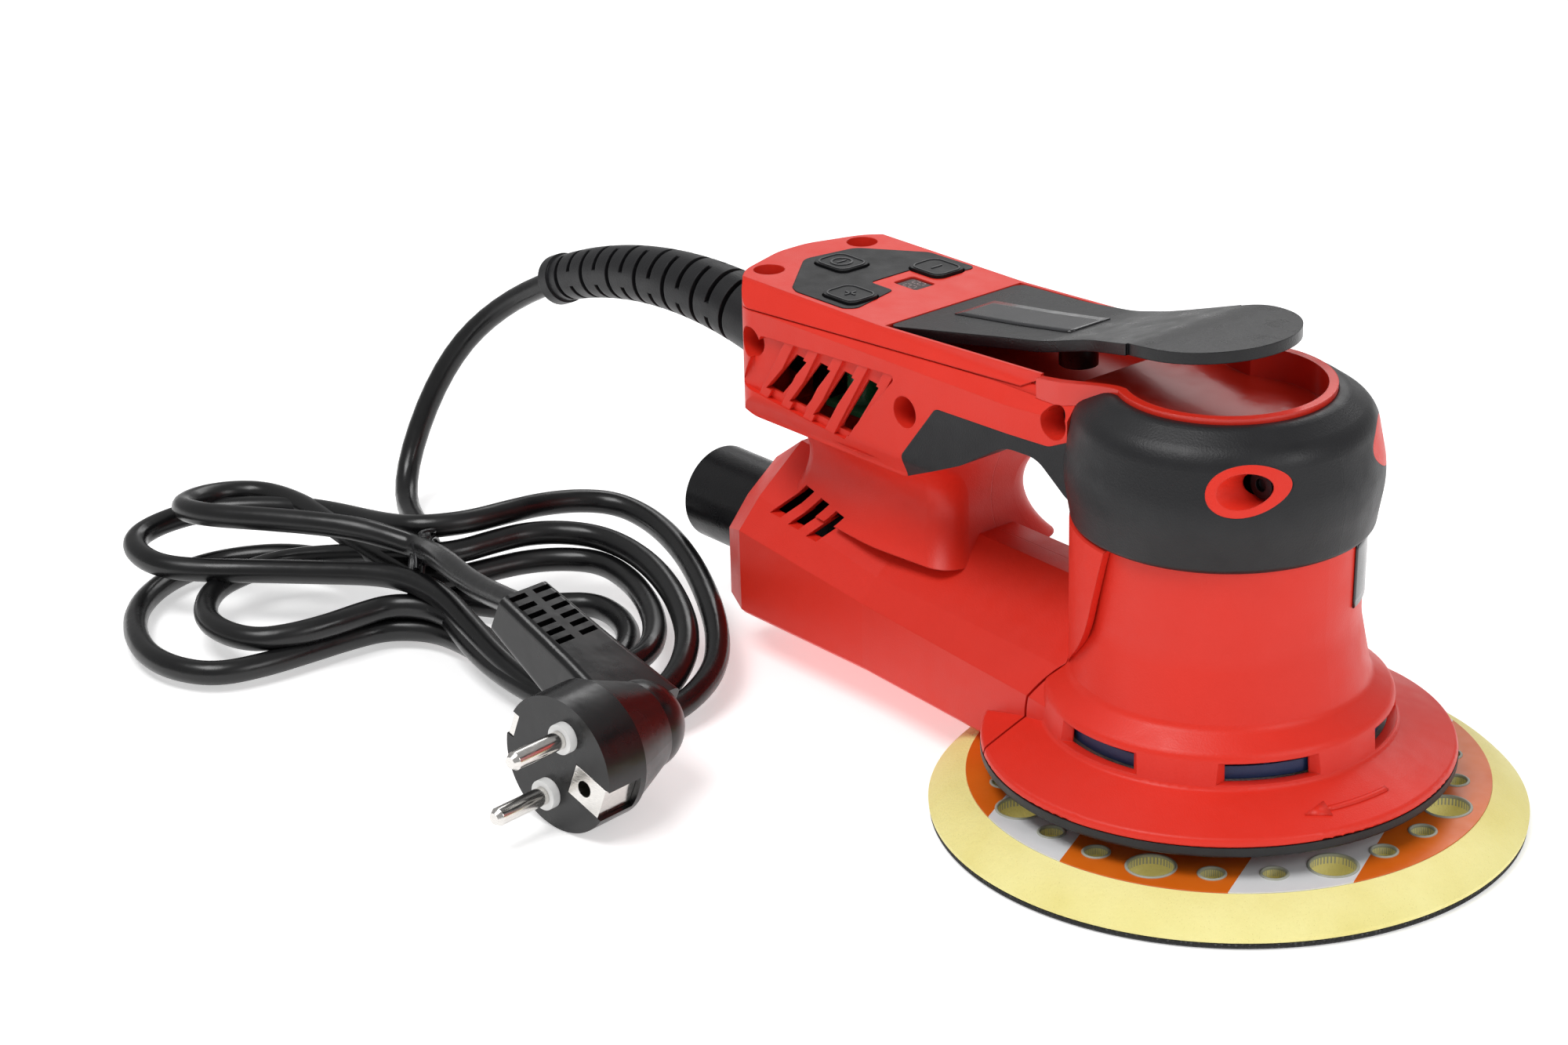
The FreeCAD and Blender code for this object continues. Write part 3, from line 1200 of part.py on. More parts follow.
def plug_earth():
    """Earth strip on one side of the rim, and a folded plate with a lined hole on the other."""
    strip = plug_block((-10.9, -0.3), (PLUG_RADIUS - 2.6, PLUG_RADIUS - 0.8), (-3.4, 3.4))
    plate = plug_block((-1.2, 0.1), (-16.4, -EARTH_HOLE_ACROSS + 4.4), (-4.6, 4.6))
    fold = plug_block((-10.9, 0.1), (-16.4, -14.6), (-4.6, 4.6))
    lining = earth_hole(EARTH_HOLE_RADIUS + EARTH_TUBE_WALL, 12).common(plug_block((-12, 0.1), (-25, 0),
                                                                                   (-9, 9)))
    return [strip, union([plate, fold, lining]).cut(earth_hole(EARTH_HOLE_RADIUS, 11))]


PIECES = {
    "pad_hook": pad_hook, "pad_foam": pad_foam, "pad_plate": pad_plate, "pad_label": pad_label,
    "pad_spindle": pad_spindle, "pad_stud": pad_stud, "spindle_bearing": spindle_bearing,
    "eccentric_hub": eccentric_hub, "counterweight": counterweight, "fan": fan, "motor_shaft": motor_shaft,
    "rotor": rotor, "motor_stator": motor_stator, "stator_windings": stator_windings,
    "bearing_cap": bearing_cap,
    "lower_bearing": lambda: bearing(LOWER_BEARING, SHAFT_RADIUS),
    "upper_bearing": lambda: bearing(UPPER_BEARING, SHAFT_RADIUS),
    "motor_housing": motor_housing, "seal_ring": seal_ring, "head_dish": head_dish,
    "grip_left": lambda: grip(-1), "grip_right": lambda: grip(1),
    "body_left": lambda: body_shell(-1), "body_right": lambda: body_shell(1), "body_screws": body_screws,
    "top_cover": top_cover, "cover_screws": cover_screws, "hose_connector": hose_connector,
    "control_panel": control_panel, "display_window": display_window, "display_module": display_module,
    "power_button": lambda: button("power_button"), "plus_button": lambda: button("plus_button"),
    "minus_button": lambda: button("minus_button"), "control_board": control_board,
    "motor_controller": motor_controller, "hall_sensor": hall_sensor,
    "lever": lever, "lever_pin": lever_pin, "lever_spring": lever_spring, "lever_magnet": lever_magnet,
    "cable_boot": cable_boot, "cable_clamp": cable_clamp, "inner_cord": inner_cord,
    "cord_feed": lambda: cord(FEED_ROUTE, "cord_feed"), "cord_tail": lambda: cord(TAIL_ROUTE, "cord_tail"),
    "cord_coil": cord_coil, "cord_tie": cord_tie,
    "plug_body": plug_body, "plug_pins": plug_pins, "plug_collars": plug_collars, "plug_earth": plug_earth,
}


def main():
    os.makedirs("parts", exist_ok=True)
    for name, make in PIECES.items():
        made = make()
        shape = Part.makeCompound(made) if isinstance(made, list) else made
        print(f"{name:18s} solids {len(shape.Solids)} valid {shape.isValid()} volume {shape.Volume:10.1f}")
        shape.exportStep(f"parts/{name}.step")


main()
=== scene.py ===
"""Looks of the random orbital sander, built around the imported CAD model.

Metres, +Z up, in the CAD model's frame.
"""
import bpy
import json
import math
from mathutils import Matrix, Vector
from mathutils.bvhtree import BVHTree


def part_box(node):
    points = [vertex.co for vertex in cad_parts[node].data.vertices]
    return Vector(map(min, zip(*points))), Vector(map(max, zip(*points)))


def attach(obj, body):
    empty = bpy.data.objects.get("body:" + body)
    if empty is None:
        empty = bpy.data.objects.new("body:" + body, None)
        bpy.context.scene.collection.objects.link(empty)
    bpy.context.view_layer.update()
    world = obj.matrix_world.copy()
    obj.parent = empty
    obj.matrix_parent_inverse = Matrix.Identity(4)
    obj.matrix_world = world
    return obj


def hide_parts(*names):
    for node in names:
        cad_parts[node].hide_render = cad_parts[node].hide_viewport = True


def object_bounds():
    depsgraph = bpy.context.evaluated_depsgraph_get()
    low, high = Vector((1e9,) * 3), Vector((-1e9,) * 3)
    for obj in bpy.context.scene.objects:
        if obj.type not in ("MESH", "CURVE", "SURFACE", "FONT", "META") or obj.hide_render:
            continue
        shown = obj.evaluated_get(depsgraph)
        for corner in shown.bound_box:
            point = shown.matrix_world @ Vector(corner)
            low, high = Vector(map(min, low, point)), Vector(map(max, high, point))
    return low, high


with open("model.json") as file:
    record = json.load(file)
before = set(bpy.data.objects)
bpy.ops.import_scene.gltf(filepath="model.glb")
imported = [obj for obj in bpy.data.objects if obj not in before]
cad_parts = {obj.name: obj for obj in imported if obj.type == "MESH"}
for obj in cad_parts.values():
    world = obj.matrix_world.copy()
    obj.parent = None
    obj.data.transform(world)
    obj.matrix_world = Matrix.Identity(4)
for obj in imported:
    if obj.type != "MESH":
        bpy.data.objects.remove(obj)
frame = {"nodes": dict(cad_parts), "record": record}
CAD_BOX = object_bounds()
NODES = frame["nodes"]
MM = 0.001

# ------------------------------------------------------------ sizes that follow the CAD model, in millimetres
PAD_RADIUS = 75.0
PAD_TOP_RADIUS = 65.3
ORBIT_OFFSET = 2.5            # from the motor's axis to the pad's
ORBIT_ANGLE = math.radians(43)
PAD_CENTRE = (ORBIT_OFFSET * math.cos(ORBIT_ANGLE), ORBIT_OFFSET * math.sin(ORBIT_ANGLE))
FOAM_BOTTOM = 1.4
FOAM_TOP = 9.85
LABEL_TOP = 10.15
HOLE_CIRCLE = 56.3
LARGE_HOLE = 5.6
SMALL_HOLE = 2.9
HOLE_START = 24.8
ARROW_HEAD = -17.0            # degrees round the motor's axis
STRIPE_ANGLE = math.radians(26.05)
STRIPES = ((-46.4, -22.4), (19.7, 45.6))
NECK_RADIUS = 34.2            # at its bottom, and it widens a little upwards
NECK_BOTTOM = 54.6
NECK_TAPER = 0.02
CORD_DIAMETER = 6.8
FEED_ROUTE = [(-267, 0, 73.2), (-290, -1.5, 63), (-306, -17, 41), (-306, -36, 4.2), (-266, -52.5, 5.2)]
TAIL_ROUTE = [(-226, -81.5, 23.5), (-203, -91, 31), (-176, -99, 33), (-149, -104.6, 38.5)]
HANK_CENTRE = (-228, -80)
HANK_ANGLE = math.radians(40)
# Loops of the hank in the order they were wound, as (along, across, height) from the tie:
# right, left, right and so on.
HANK_LOOPS = [
    [(-4, 24, 4.8), (6, 7, 4.8), (25, 3, 4.8), (46, 8, 4.8),
     (60, -10, 4.8), (59, -33, 4.8), (41, -43, 4.8), (23, -28, 4.8)],
    [(8, -16, 4.8), (-9, -16, 4.8), (-25, -32, 4.8), (-46, -50, 4.8), (-69, -40, 4.8),
     (-82, -10, 4.8), (-75, 20, 5), (-48, 28, 7), (-22, 15, 9)],
    [(-7, 7, 11.4), (8, 7, 11.6), (24, 19, 12), (46, 21, 12),
     (65, -6, 12), (71, -36, 11), (53, -50, 9), (28, -34, 10)],
    [(9, -17, 11.6), (-7, -15, 11.6), (-20, -28, 11), (-38, -38, 10),
     (-56, -26, 9.5), (-60, -4, 10), (-46, 11, 12), (-24, 11, 15)],
    [(-7, 5, 18.2), (8, 9, 18.6), (24, 23, 19), (45, 25, 18), (66, 4, 17),
     (81, -30, 13), (77, -58, 8), (55, -62, 6), (31, -43, 11)],
    [(11, -20, 17), (-6, -10, 18.4), (-24, -6, 17), (-50, -3, 15), (-76, -3, 15),
     (-90, 13, 16), (-76, 31, 18), (-46, 32, 20), (-22, 20, 22)],
    [(-6, 10, 25), (10, 16, 25), (26, 33, 24), (46, 41, 22), (66, 24, 19),
     (83, -10, 15), (90, -42, 9), (75, -68, 5), (44, -56, 7), (22, -34, 9)],
    [(6, -10, 12), (-9, 2, 15), (-26, 15, 19), (-44, 31, 21), (-60, 40, 21),
     (-73, 34, 22), (-77, 20, 24), (-66, 9, 26.5), (-44, 4, 28), (-18, 0, 28)],
]


def at_hank(u, v, z):
    """A point of the hank in metres: u runs along it and v across it."""
    x = HANK_CENTRE[0] + u * math.cos(HANK_ANGLE) - v * math.sin(HANK_ANGLE)
    y = HANK_CENTRE[1] + u * math.sin(HANK_ANGLE) + v * math.cos(HANK_ANGLE)
    return Vector((x, y, z)) * MM


# ------------------------------------------------------------ camera, floor and light
def add(name, data):
    piece = bpy.data.objects.new(name, data)
    bpy.context.scene.collection.objects.link(piece)
    return piece


def make_camera():
    data = bpy.data.cameras.new("camera")
    data.lens = 86.4
    data.sensor_width = 36.0
    data.clip_start = 0.01
    camera = add("camera", data)
    right = Vector((0.6477, 0.7615, -0.0244))
    up = Vector((-0.2794, 0.2672, 0.9223))
    back = right.cross(up)
    pose = Matrix((right, up, back)).transposed().to_4x4()
    pose.translation = Vector((0.58012, -0.62217, 0.43270))
    camera.matrix_world = pose
    bpy.context.scene.camera = camera


def area_light(name, place, target, size, power):
    data = bpy.data.lights.new(name, "AREA")
    data.shape = "RECTANGLE"
    data.size = size[0]
    data.size_y = size[1]
    data.energy = power
    lamp = add(name, data)
    lamp.location = place
    lamp.rotation_euler = (Vector(target) - Vector(place)).to_track_quat("-Z", "Y").to_euler()


def make_studio():
    mesh = bpy.data.meshes.new("floor")
    reach = 6.0
    corners = [(-reach, -reach, 0), (reach, -reach, 0), (reach, reach, 0), (-reach, reach, 0)]
    mesh.from_pydata(corners, [], [(0, 1, 2, 3)])
    floor = add("floor", mesh)
    floor.location.z = CAD_BOX[0][2] - 0.0002
    paper = finish("floor_white", (0.9, 0.9, 0.9), 0.6, grain=0.0, mottle=0.01)
    paper.node_tree.nodes["Principled BSDF"].inputs["Emission Color"].default_value = (1, 1, 1, 1)
    paper.node_tree.nodes["Principled BSDF"].inputs["Emission Strength"].default_value = 0.46
    floor.data.materials.append(paper)
    world = bpy.data.worlds.new("studio")
    world.use_nodes = True
    sky = world.node_tree.nodes["Background"]
    sky.inputs["Color"].default_value = (1, 1, 1, 1)
    sky.inputs["Strength"].default_value = 0.38
    bpy.context.scene.world = world
    bpy.context.scene.view_settings.view_transform = "Standard"
    area_light("key", (-0.15, -0.55, 1.15), (-0.05, 0, 0.05), (0.7, 0.5), 8.0)
    area_light("front", (1.2, 0.1, 0.75), (0, 0, 0.06), (0.5, 0.6), 4.0)
    area_light("back", (-0.6, 0.9, 0.8), (-0.05, 0, 0.05), (1.0, 0.4), 4)


# ------------------------------------------------------------ materials
class Graph:
    """A material's node tree, with short ways to add and join nodes."""

    def __init__(self, name):
        self.material = bpy.data.materials.new(name)
        self.material.use_nodes = True
        self.tree = self.material.node_tree
        self.shader = self.tree.nodes["Principled BSDF"]
        self.place = self.add("ShaderNodeTexCoord").outputs["Object"]

    def add(self, kind, **settings):
        node = self.tree.nodes.new(kind)
        for key, value in settings.items():
            setattr(node, key, value)
        return node

    def join(self, source, target):
        self.tree.links.new(source, target)

    def noise(self, scale, detail=2.0, rough=0.5):
        node = self.add("ShaderNodeTexNoise")
        node.inputs["Scale"].default_value = scale
        node.inputs["Detail"].default_value = detail
        node.inputs["Roughness"].default_value = rough
        self.join(self.place, node.inputs["Vector"])
        return node.outputs["Fac"]

    def math(self, operation, first, second=0.0):
        node = self.add("ShaderNodeMath", operation=operation)
        for socket, value in zip(node.inputs, (first, second)):
            if isinstance(value, (int, float)):
                socket.default_value = value
            else:
                self.join(value, socket)
        return node.outputs[0]

    def spread(self, value, low, high):
        node = self.add("ShaderNodeMapRange")
        node.inputs["To Min"].default_value = low
        node.inputs["To Max"].default_value = high
        node.inputs["From Min"].default_value = 0.3
        node.inputs["From Max"].default_value = 0.7
        self.join(value, node.inputs["Value"])
        return node.outputs[0]

    def mix(self, share, first, second):
        node = self.add("ShaderNodeMix", data_type="RGBA")
        colours = (node.inputs[6], node.inputs[7])
        self.join(share, node.inputs[0])
        for socket, value in zip(colours, (first, second)):
            if isinstance(value, tuple):
                socket.default_value = (*value, 1)
            else:
                self.join(value, socket)
        return node.outputs[2]

    def bump(self, height, distance, strength=1.0, rounding=0.0):
        node = self.add("ShaderNodeBump")
        node.inputs["Distance"].default_value = distance
        node.inputs["Strength"].default_value = strength
        self.join(height, node.inputs["Height"])
        if rounding:
            bevel = self.add("ShaderNodeBevel", samples=4)
            bevel.inputs["Radius"].default_value = rounding
            self.join(bevel.outputs[0], node.inputs["Normal"])
        self.join(node.outputs[0], self.shader.inputs["Normal"])


def shade(colour, factor):
    return tuple(min(1.0, c * factor) for c in colour)


def finish(name, colour, roughness, grain=0.00004, grain_scale=2600.0, mottle=0.06, metallic=0.0, coat=0.0,
           rounding=0.0004, sheen=0.0, rough_spread=0.06, specular=0.5):
    """Moulded plastic, rubber or metal: slight colour variation, uneven gloss and a fine surface texture."""
    g = Graph(name)
    broad = g.noise(28.0, 3.0)
    fine = g.noise(grain_scale, 2.0)
    g.join(g.mix(g.spread(broad, 0, 1), shade(colour, 1 - mottle), shade(colour, 1 + mottle)),
           g.shader.inputs["Base Color"])
    g.join(g.spread(g.noise(160.0, 4.0), roughness - rough_spread, roughness + rough_spread),
           g.shader.inputs["Roughness"])
    g.shader.inputs["Metallic"].default_value = metallic
    g.shader.inputs["Coat Weight"].default_value = coat
    g.shader.inputs["Coat Roughness"].default_value = 0.08
    g.shader.inputs["Sheen Weight"].default_value = sheen
    g.shader.inputs["Specular IOR Level"].default_value = specular
    g.bump(fine, grain if grain else 0.00001, 1.0 if grain else 0.1, rounding)
    return g.material


def label_finish():
    """Printed label: orange with two straight white stripes, worn a little at random."""
    g = Graph("pad_label_print")
    parts = g.add("ShaderNodeSeparateXYZ")
    g.join(g.place, parts.inputs[0])
    across = (math.cos(STRIPE_ANGLE), math.sin(STRIPE_ANGLE))
    along = g.math("ADD", g.math("MULTIPLY", parts.outputs["X"], across[0]),
                   g.math("MULTIPLY", parts.outputs["Y"], across[1]))
    start = (PAD_CENTRE[0] * across[0] + PAD_CENTRE[1] * across[1]) * MM
    bands = []
    for low, high in STRIPES:
        above = g.math("GREATER_THAN", along, start + low * MM)
        below = g.math("LESS_THAN", along, start + high * MM)
        bands.append(g.math("MULTIPLY", above, below))
    stripe = g.math("ADD", bands[0], bands[1])
    tone = g.spread(g.noise(60.0, 4.0), 0, 1)
    orange = g.mix(tone, (0.70, 0.125, 0.004), (0.78, 0.16, 0.008))
    white = g.mix(tone, (0.74, 0.74, 0.75), (0.82, 0.82, 0.83))
    print_colour = g.add("ShaderNodeMix", data_type="RGBA")
    g.join(stripe, print_colour.inputs[0])
    g.join(orange, print_colour.inputs[6])
    g.join(white, print_colour.inputs[7])
    g.join(print_colour.outputs[2], g.shader.inputs["Base Color"])
    g.join(g.spread(g.noise(300.0, 3.0), 0.28, 0.42), g.shader.inputs["Roughness"])
    g.bump(g.noise(500.0, 2.0), 0.00003)
    return g.material


def foam_finish():
    """Open foam skin: pale yellow with fine pores, cloudy tone and painted shade at the bottoms of the pores.
    """
    g = Graph("foam_yellow")
    pores = g.add("ShaderNodeTexVoronoi")
    pores.inputs["Scale"].default_value = 1500.0
    g.join(g.place, pores.inputs["Vector"])
    tone = g.spread(g.noise(45.0, 5.0), 0, 1)
    base = g.mix(tone, (0.86, 0.76, 0.26), (0.95, 0.87, 0.37))
    # Painted shade: the bottoms of the pores, where the bump is lowest, are darkened by a varying amount.
    pore_shade_mask = g.math("LESS_THAN", pores.outputs["Distance"], 0.16)
    pore_shaded_colour = g.mix(g.math("MULTIPLY", pore_shade_mask, g.spread(g.noise(240.0), 0, 0.5)), base, (0.62, 0.52, 0.16))
    g.join(pore_shaded_colour, g.shader.inputs["Base Color"])
    g.shader.inputs["Roughness"].default_value = 0.85
    g.shader.inputs["Sheen Weight"].default_value = 0.15
    height = g.math("ADD", g.math("MULTIPLY", pores.outputs["Distance"], 0.5), g.noise(700.0, 4.0))
    g.bump(height, 0.00018)
    return g.material


def hook_finish():
    """Black hook fastener: tiny stems in rows, with a painted highlight on the stems where they would catch
    the light.
    """
    g = Graph("hook_black")
    rows = g.add("ShaderNodeTexVoronoi", feature="F1")
    rows.inputs["Scale"].default_value = 900.0
    rows.inputs["Randomness"].default_value = 0.35
    g.join(g.place, rows.inputs["Vector"])
    # Painted highlight: the stem tips get a lighter colour than the black plastic.
    tip = g.math("LESS_THAN", rows.outputs["Distance"], 0.3)
    g.join(g.mix(tip, (0.012, 0.012, 0.013), (0.05, 0.05, 0.052)), g.shader.inputs["Base Color"])
    g.shader.inputs["Roughness"].default_value = 0.75
    g.bump(rows.outputs["Distance"], 0.0006)
    return g.material


def cord_finish():
    """Smooth extruded sheath: glossy black with faint length-wise unevenness and dust."""
    g = Graph("cord_sheath")
    dust = g.math("GREATER_THAN", g.noise(420.0, 5.0, 0.7), 0.71)
    g.join(g.mix(dust, (0.0045, 0.0045, 0.005), (0.03, 0.03, 0.03)), g.shader.inputs["Base Color"])
    g.join(g.spread(g.noise(90.0, 3.0), 0.22, 0.36), g.shader.inputs["Roughness"])
    g.bump(g.noise(130.0, 2.0), 0.00025, 0.6)
    return g.material


def brushed(name, colour, roughness=0.3):
    """Turned or drawn metal with fine streaks."""
    g = Graph(name)
    stretch = g.add("ShaderNodeMapping")
    stretch.inputs["Scale"].default_value = (1.0, 1.0, 14.0)
    g.join(g.place, stretch.inputs["Vector"])
    g.place = stretch.outputs[0]
    streak = g.noise(900.0, 3.0)
    g.join(g.mix(g.spread(streak, 0, 1), shade(colour, 0.85), shade(colour, 1.1)),
           g.shader.inputs["Base Color"])
    g.join(g.spread(g.noise(400.0), roughness - 0.08, roughness + 0.1), g.shader.inputs["Roughness"])
    g.shader.inputs["Metallic"].default_value = 1.0
    g.bump(streak, 0.00001, 0.5, 0.0002)
    return g.material


def make_materials():
    red = (0.745, 0.030, 0.015)
    return {
        "red_plastic": finish("red_satin", red, 0.40, grain=0.00005, mottle=0.03, specular=0.32),
        "red_gloss": finish("red_gloss", shade(red, 0.95), 0.20, grain=0.00001, mottle=0.02, coat=0.15,
                            specular=0.4),
        "black_rubber": finish("rubber_black", (0.010, 0.010, 0.0115), 0.44, grain=0.00006,
                               grain_scale=1900.0, specular=0.38),
        "black_plastic": finish("plastic_black", (0.006, 0.006, 0.007), 0.30, grain=0.00006,
                                grain_scale=1700.0, specular=0.35),
        "panel": finish("panel_black", (0.007, 0.007, 0.008), 0.42, grain=0.00003, specular=0.2),
        "window": finish("window_smoked", (0.03, 0.012, 0.012), 0.08, grain=0.0, mottle=0.3, coat=0.6),
        "pad_foam": foam_finish(),
        "pad_label": label_finish(),
        "hook": hook_finish(),
        "nylon": finish("nylon_grey", (0.42, 0.43, 0.36), 0.45),
        "steel": brushed("steel_turned", (0.55, 0.55, 0.56), 0.32),
        # Near-black screw finish: painted shade, darkened so the screw heads read as the shade deep in their
        # holes.
        "screw": brushed("screw_painted_shade", (0.045, 0.045, 0.05), 0.42),
        "nickel": brushed("nickel_bright", (0.74, 0.72, 0.69), 0.16),
        "aluminium": brushed("aluminium_turned", (0.68, 0.68, 0.70), 0.35),
        "fan_blue": finish("fan_blue", (0.012, 0.035, 0.11), 0.42),
        "lamination": brushed("lamination_grey", (0.25, 0.25, 0.27), 0.45),
        "copper": finish("copper_enamel", (0.62, 0.22, 0.06), 0.30, metallic=0.8, grain=0.00015,
                         grain_scale=900.0),
        "board": finish("board_green", (0.015, 0.10, 0.04), 0.30, mottle=0.3),
        "magnet": brushed("magnet_plated", (0.6, 0.6, 0.6), 0.2),
        "cord": cord_finish(),
        "white_plastic": finish("plastic_white", (0.78, 0.78, 0.77), 0.40),
        "mark": finish("mark_grey", (0.03, 0.03, 0.033), 0.35),
        "digit": finish("digit_pale", (0.30, 0.22, 0.22), 0.35, mottle=0.2),
        "label_dark": finish("label_dark", (0.022, 0.022, 0.025), 0.24, grain=0.00001, coat=0.3, mottle=0.15),
    }


def dress_nodes(finishes):
    """Gives every CAD node the finish of its material slot, and smooth shading over its facets. The screws
    instead get a near-black finish, painted shade for their deep holes.
    """
    for entry in frame["record"]["subparts"]:
        node = NODES[entry["node"]]
        node.data.materials.clear()
        # Screws take the near-black finish painted as the shade in their holes, not their slot's finish.
        slot = "screw" if entry["node"].endswith("_screws") else entry["material_slot"]
        node.data.materials.append(finishes[slot])
        node.data.polygons.foreach_set("use_smooth", [True] * len(node.data.polygons))
        node.data.set_sharp_from_angle(angle=math.radians(28))


# ------------------------------------------------------------ mesh helpers
def mesh_piece(name, verts, faces, material, body, slot, smooth=True):
    mesh = bpy.data.meshes.new(name)
    mesh.from_pydata([tuple(v) for v in verts], [], faces)
    mesh.validate()
    mesh.polygons.foreach_set("use_smooth", [smooth] * len(mesh.polygons))
    mesh.set_sharp_from_angle(angle=math.radians(35))
    mesh.materials.append(material)
    piece = add(name, mesh)
    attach(piece, body)
    return piece


def lathe(profile, centre, steps=192):
    """Vertices and faces of an outline of (radius, height) in millimetres, turned about a vertical axis."""
    verts = []
    for k in range(steps):
        turn = 2 * math.pi * k / steps
        for radius, height in profile:
            verts.append(Vector((centre[0] + radius * math.cos(turn), centre[1] + radius * math.sin(turn),
                                 height)) * MM)
    count = len(profile)
    faces = []
    for k in range(steps):
        for i in range(count):
            j = (i + 1) % count
            after = (k + 1) % steps
            faces.append((k * count + i, after * count + i, after * count + j, k * count + j))
    return verts, faces


def merge(pieces):
    """Joins several (vertices, faces) pairs into one."""
    verts = []
    faces = []
    for more, shapes in pieces:
        start = len(verts)
        verts += more
        faces += [tuple(i + start for i in face) for face in shapes]
    return verts, faces


def apply_modifiers(piece):
    graph = bpy.context.evaluated_depsgraph_get()
    done = bpy.data.meshes.new_from_object(piece.evaluated_get(graph))
    piece.modifiers.clear()
    piece.data = done


def hole_places():
    """(x, y, radius) of every suction hole, in millimetres."""
    places = []
    for k in range(8):
        for third, radius in ((0, LARGE_HOLE), (1, SMALL_HOLE), (2, SMALL_HOLE)):
            turn = math.radians(HOLE_START + 45 * k + 15 * third)
            places.append((PAD_CENTRE[0] + HOLE_CIRCLE * math.cos(turn),
                           PAD_CENTRE[1] + HOLE_CIRCLE * math.sin(turn), radius))
    return places


def drill(piece, low, high, grow=0.0):
    """Cuts the suction holes through a piece."""
    cutters = []
    for x, y, radius in hole_places():
        verts, faces = lathe([(0.001, low), (radius + grow, low), (radius + grow, high), (0.001, high)],
                             (x, y), 40)
        cutters.append((verts, faces))
    verts, faces = merge(cutters)
    mesh = bpy.data.meshes.new("drill")
    mesh.from_pydata([tuple(v) for v in verts], [], faces)
    tool = add("drill", mesh)
    cut = piece.modifiers.new("holes", "BOOLEAN")
    cut.operation = "DIFFERENCE"
    cut.solver = "EXACT"
    cut.object = tool
    apply_modifiers(piece)
    bpy.data.objects.remove(tool)
    piece.data.polygons.foreach_set("use_smooth", [True] * len(piece.data.polygons))
    piece.data.set_sharp_from_angle(angle=math.radians(35))


# ------------------------------------------------------------ cord, tie and plug
def cord_points():
    """The route of the whole cord, with a point added between every two of the hank's for an even bend."""
    hank = [at_hank(*point) for loop in HANK_LOOPS for point in loop]
    feed = [Vector(p) * MM for p in FEED_ROUTE]
    tail = [Vector(p) * MM for p in TAIL_ROUTE]
    route = feed + hank + tail
    points = []
    for i, point in enumerate(route):
        points.append(point)
        if len(feed) - 1 <= i < len(feed) + len(hank):
            between = (9 * (point + route[i + 1]) - route[i - 1] - route[i + 2]) / 16
            between.z = max(between.z, (CORD_DIAMETER / 2 + 0.8) * MM)
            points.append(between)
    return points


def nurbs_curve(name, points, radius, material, resolution=6):
    data = bpy.data.curves.new(name, "CURVE")
    data.dimensions = "3D"
    data.bevel_depth = radius
    data.bevel_resolution = 6
    data.use_fill_caps = True
    spline = data.splines.new("NURBS")
    spline.points.add(len(points) - 1)
    for point, place in zip(spline.points, points):
        point.co = (*place, 1.0)
    spline.order_u = 3
    spline.use_endpoint_u = True
    spline.resolution_u = resolution
    data.materials.append(material)
    return add(name, data)


def curve_length(piece):
    """Length of a curve's own line, in metres."""
    bare = piece.data.copy()
    bare.bevel_depth = 0.0
    probe = add("probe", bare)
    bpy.context.view_layer.update()
    mesh = bpy.data.meshes.new_from_object(probe.evaluated_get(bpy.context.evaluated_depsgraph_get()))
    places = [v.co.copy() for v in mesh.vertices]
    bpy.data.objects.remove(probe)
    return sum((b - a).length for a, b in zip(places, places[1:]))


def make_cord(finishes):
    piece = nurbs_curve("mains_cord", cord_points(), CORD_DIAMETER / 2 * MM, finishes["cord"])
    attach(piece, "housing")
    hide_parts("cord_feed", "cord_tail", "cord_coil")
    length = round(curve_length(piece), 3)
    print("cord length", length)
    ties = make_tie(finishes)


def make_tie(finishes):
    """Thin black string wound round the hank's waist and knotted on top."""
    points = []
    winds = 3
    for k in range(winds * 16 + 1):
        turn = 2 * math.pi * k / 16
        u = -2.6 + 5.2 * k / (winds * 16) + 0.5 * math.sin(turn * 0.5)
        v = 12.8 * math.cos(turn)
        z = 13.6 + 12.0 * math.sin(turn)
        points.append(at_hank(u, v, z))
    knot = [(0, 10, 24), (2.5, 4, 27.0), (-1.5, 0, 27.5), (1.5, -3.0, 27.0),
            (2, 1, 27.5), (-2, -5, 26.8), (0.5, -9, 25.4), (1, -12, 22)]
    points += [at_hank(u, v, z) for u, v, z in knot]
    piece = nurbs_curve("cord_tie_string", points, 0.75 * MM, finishes["black_plastic"], 4)
    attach(piece, "housing")
    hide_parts("cord_tie")
    return piece


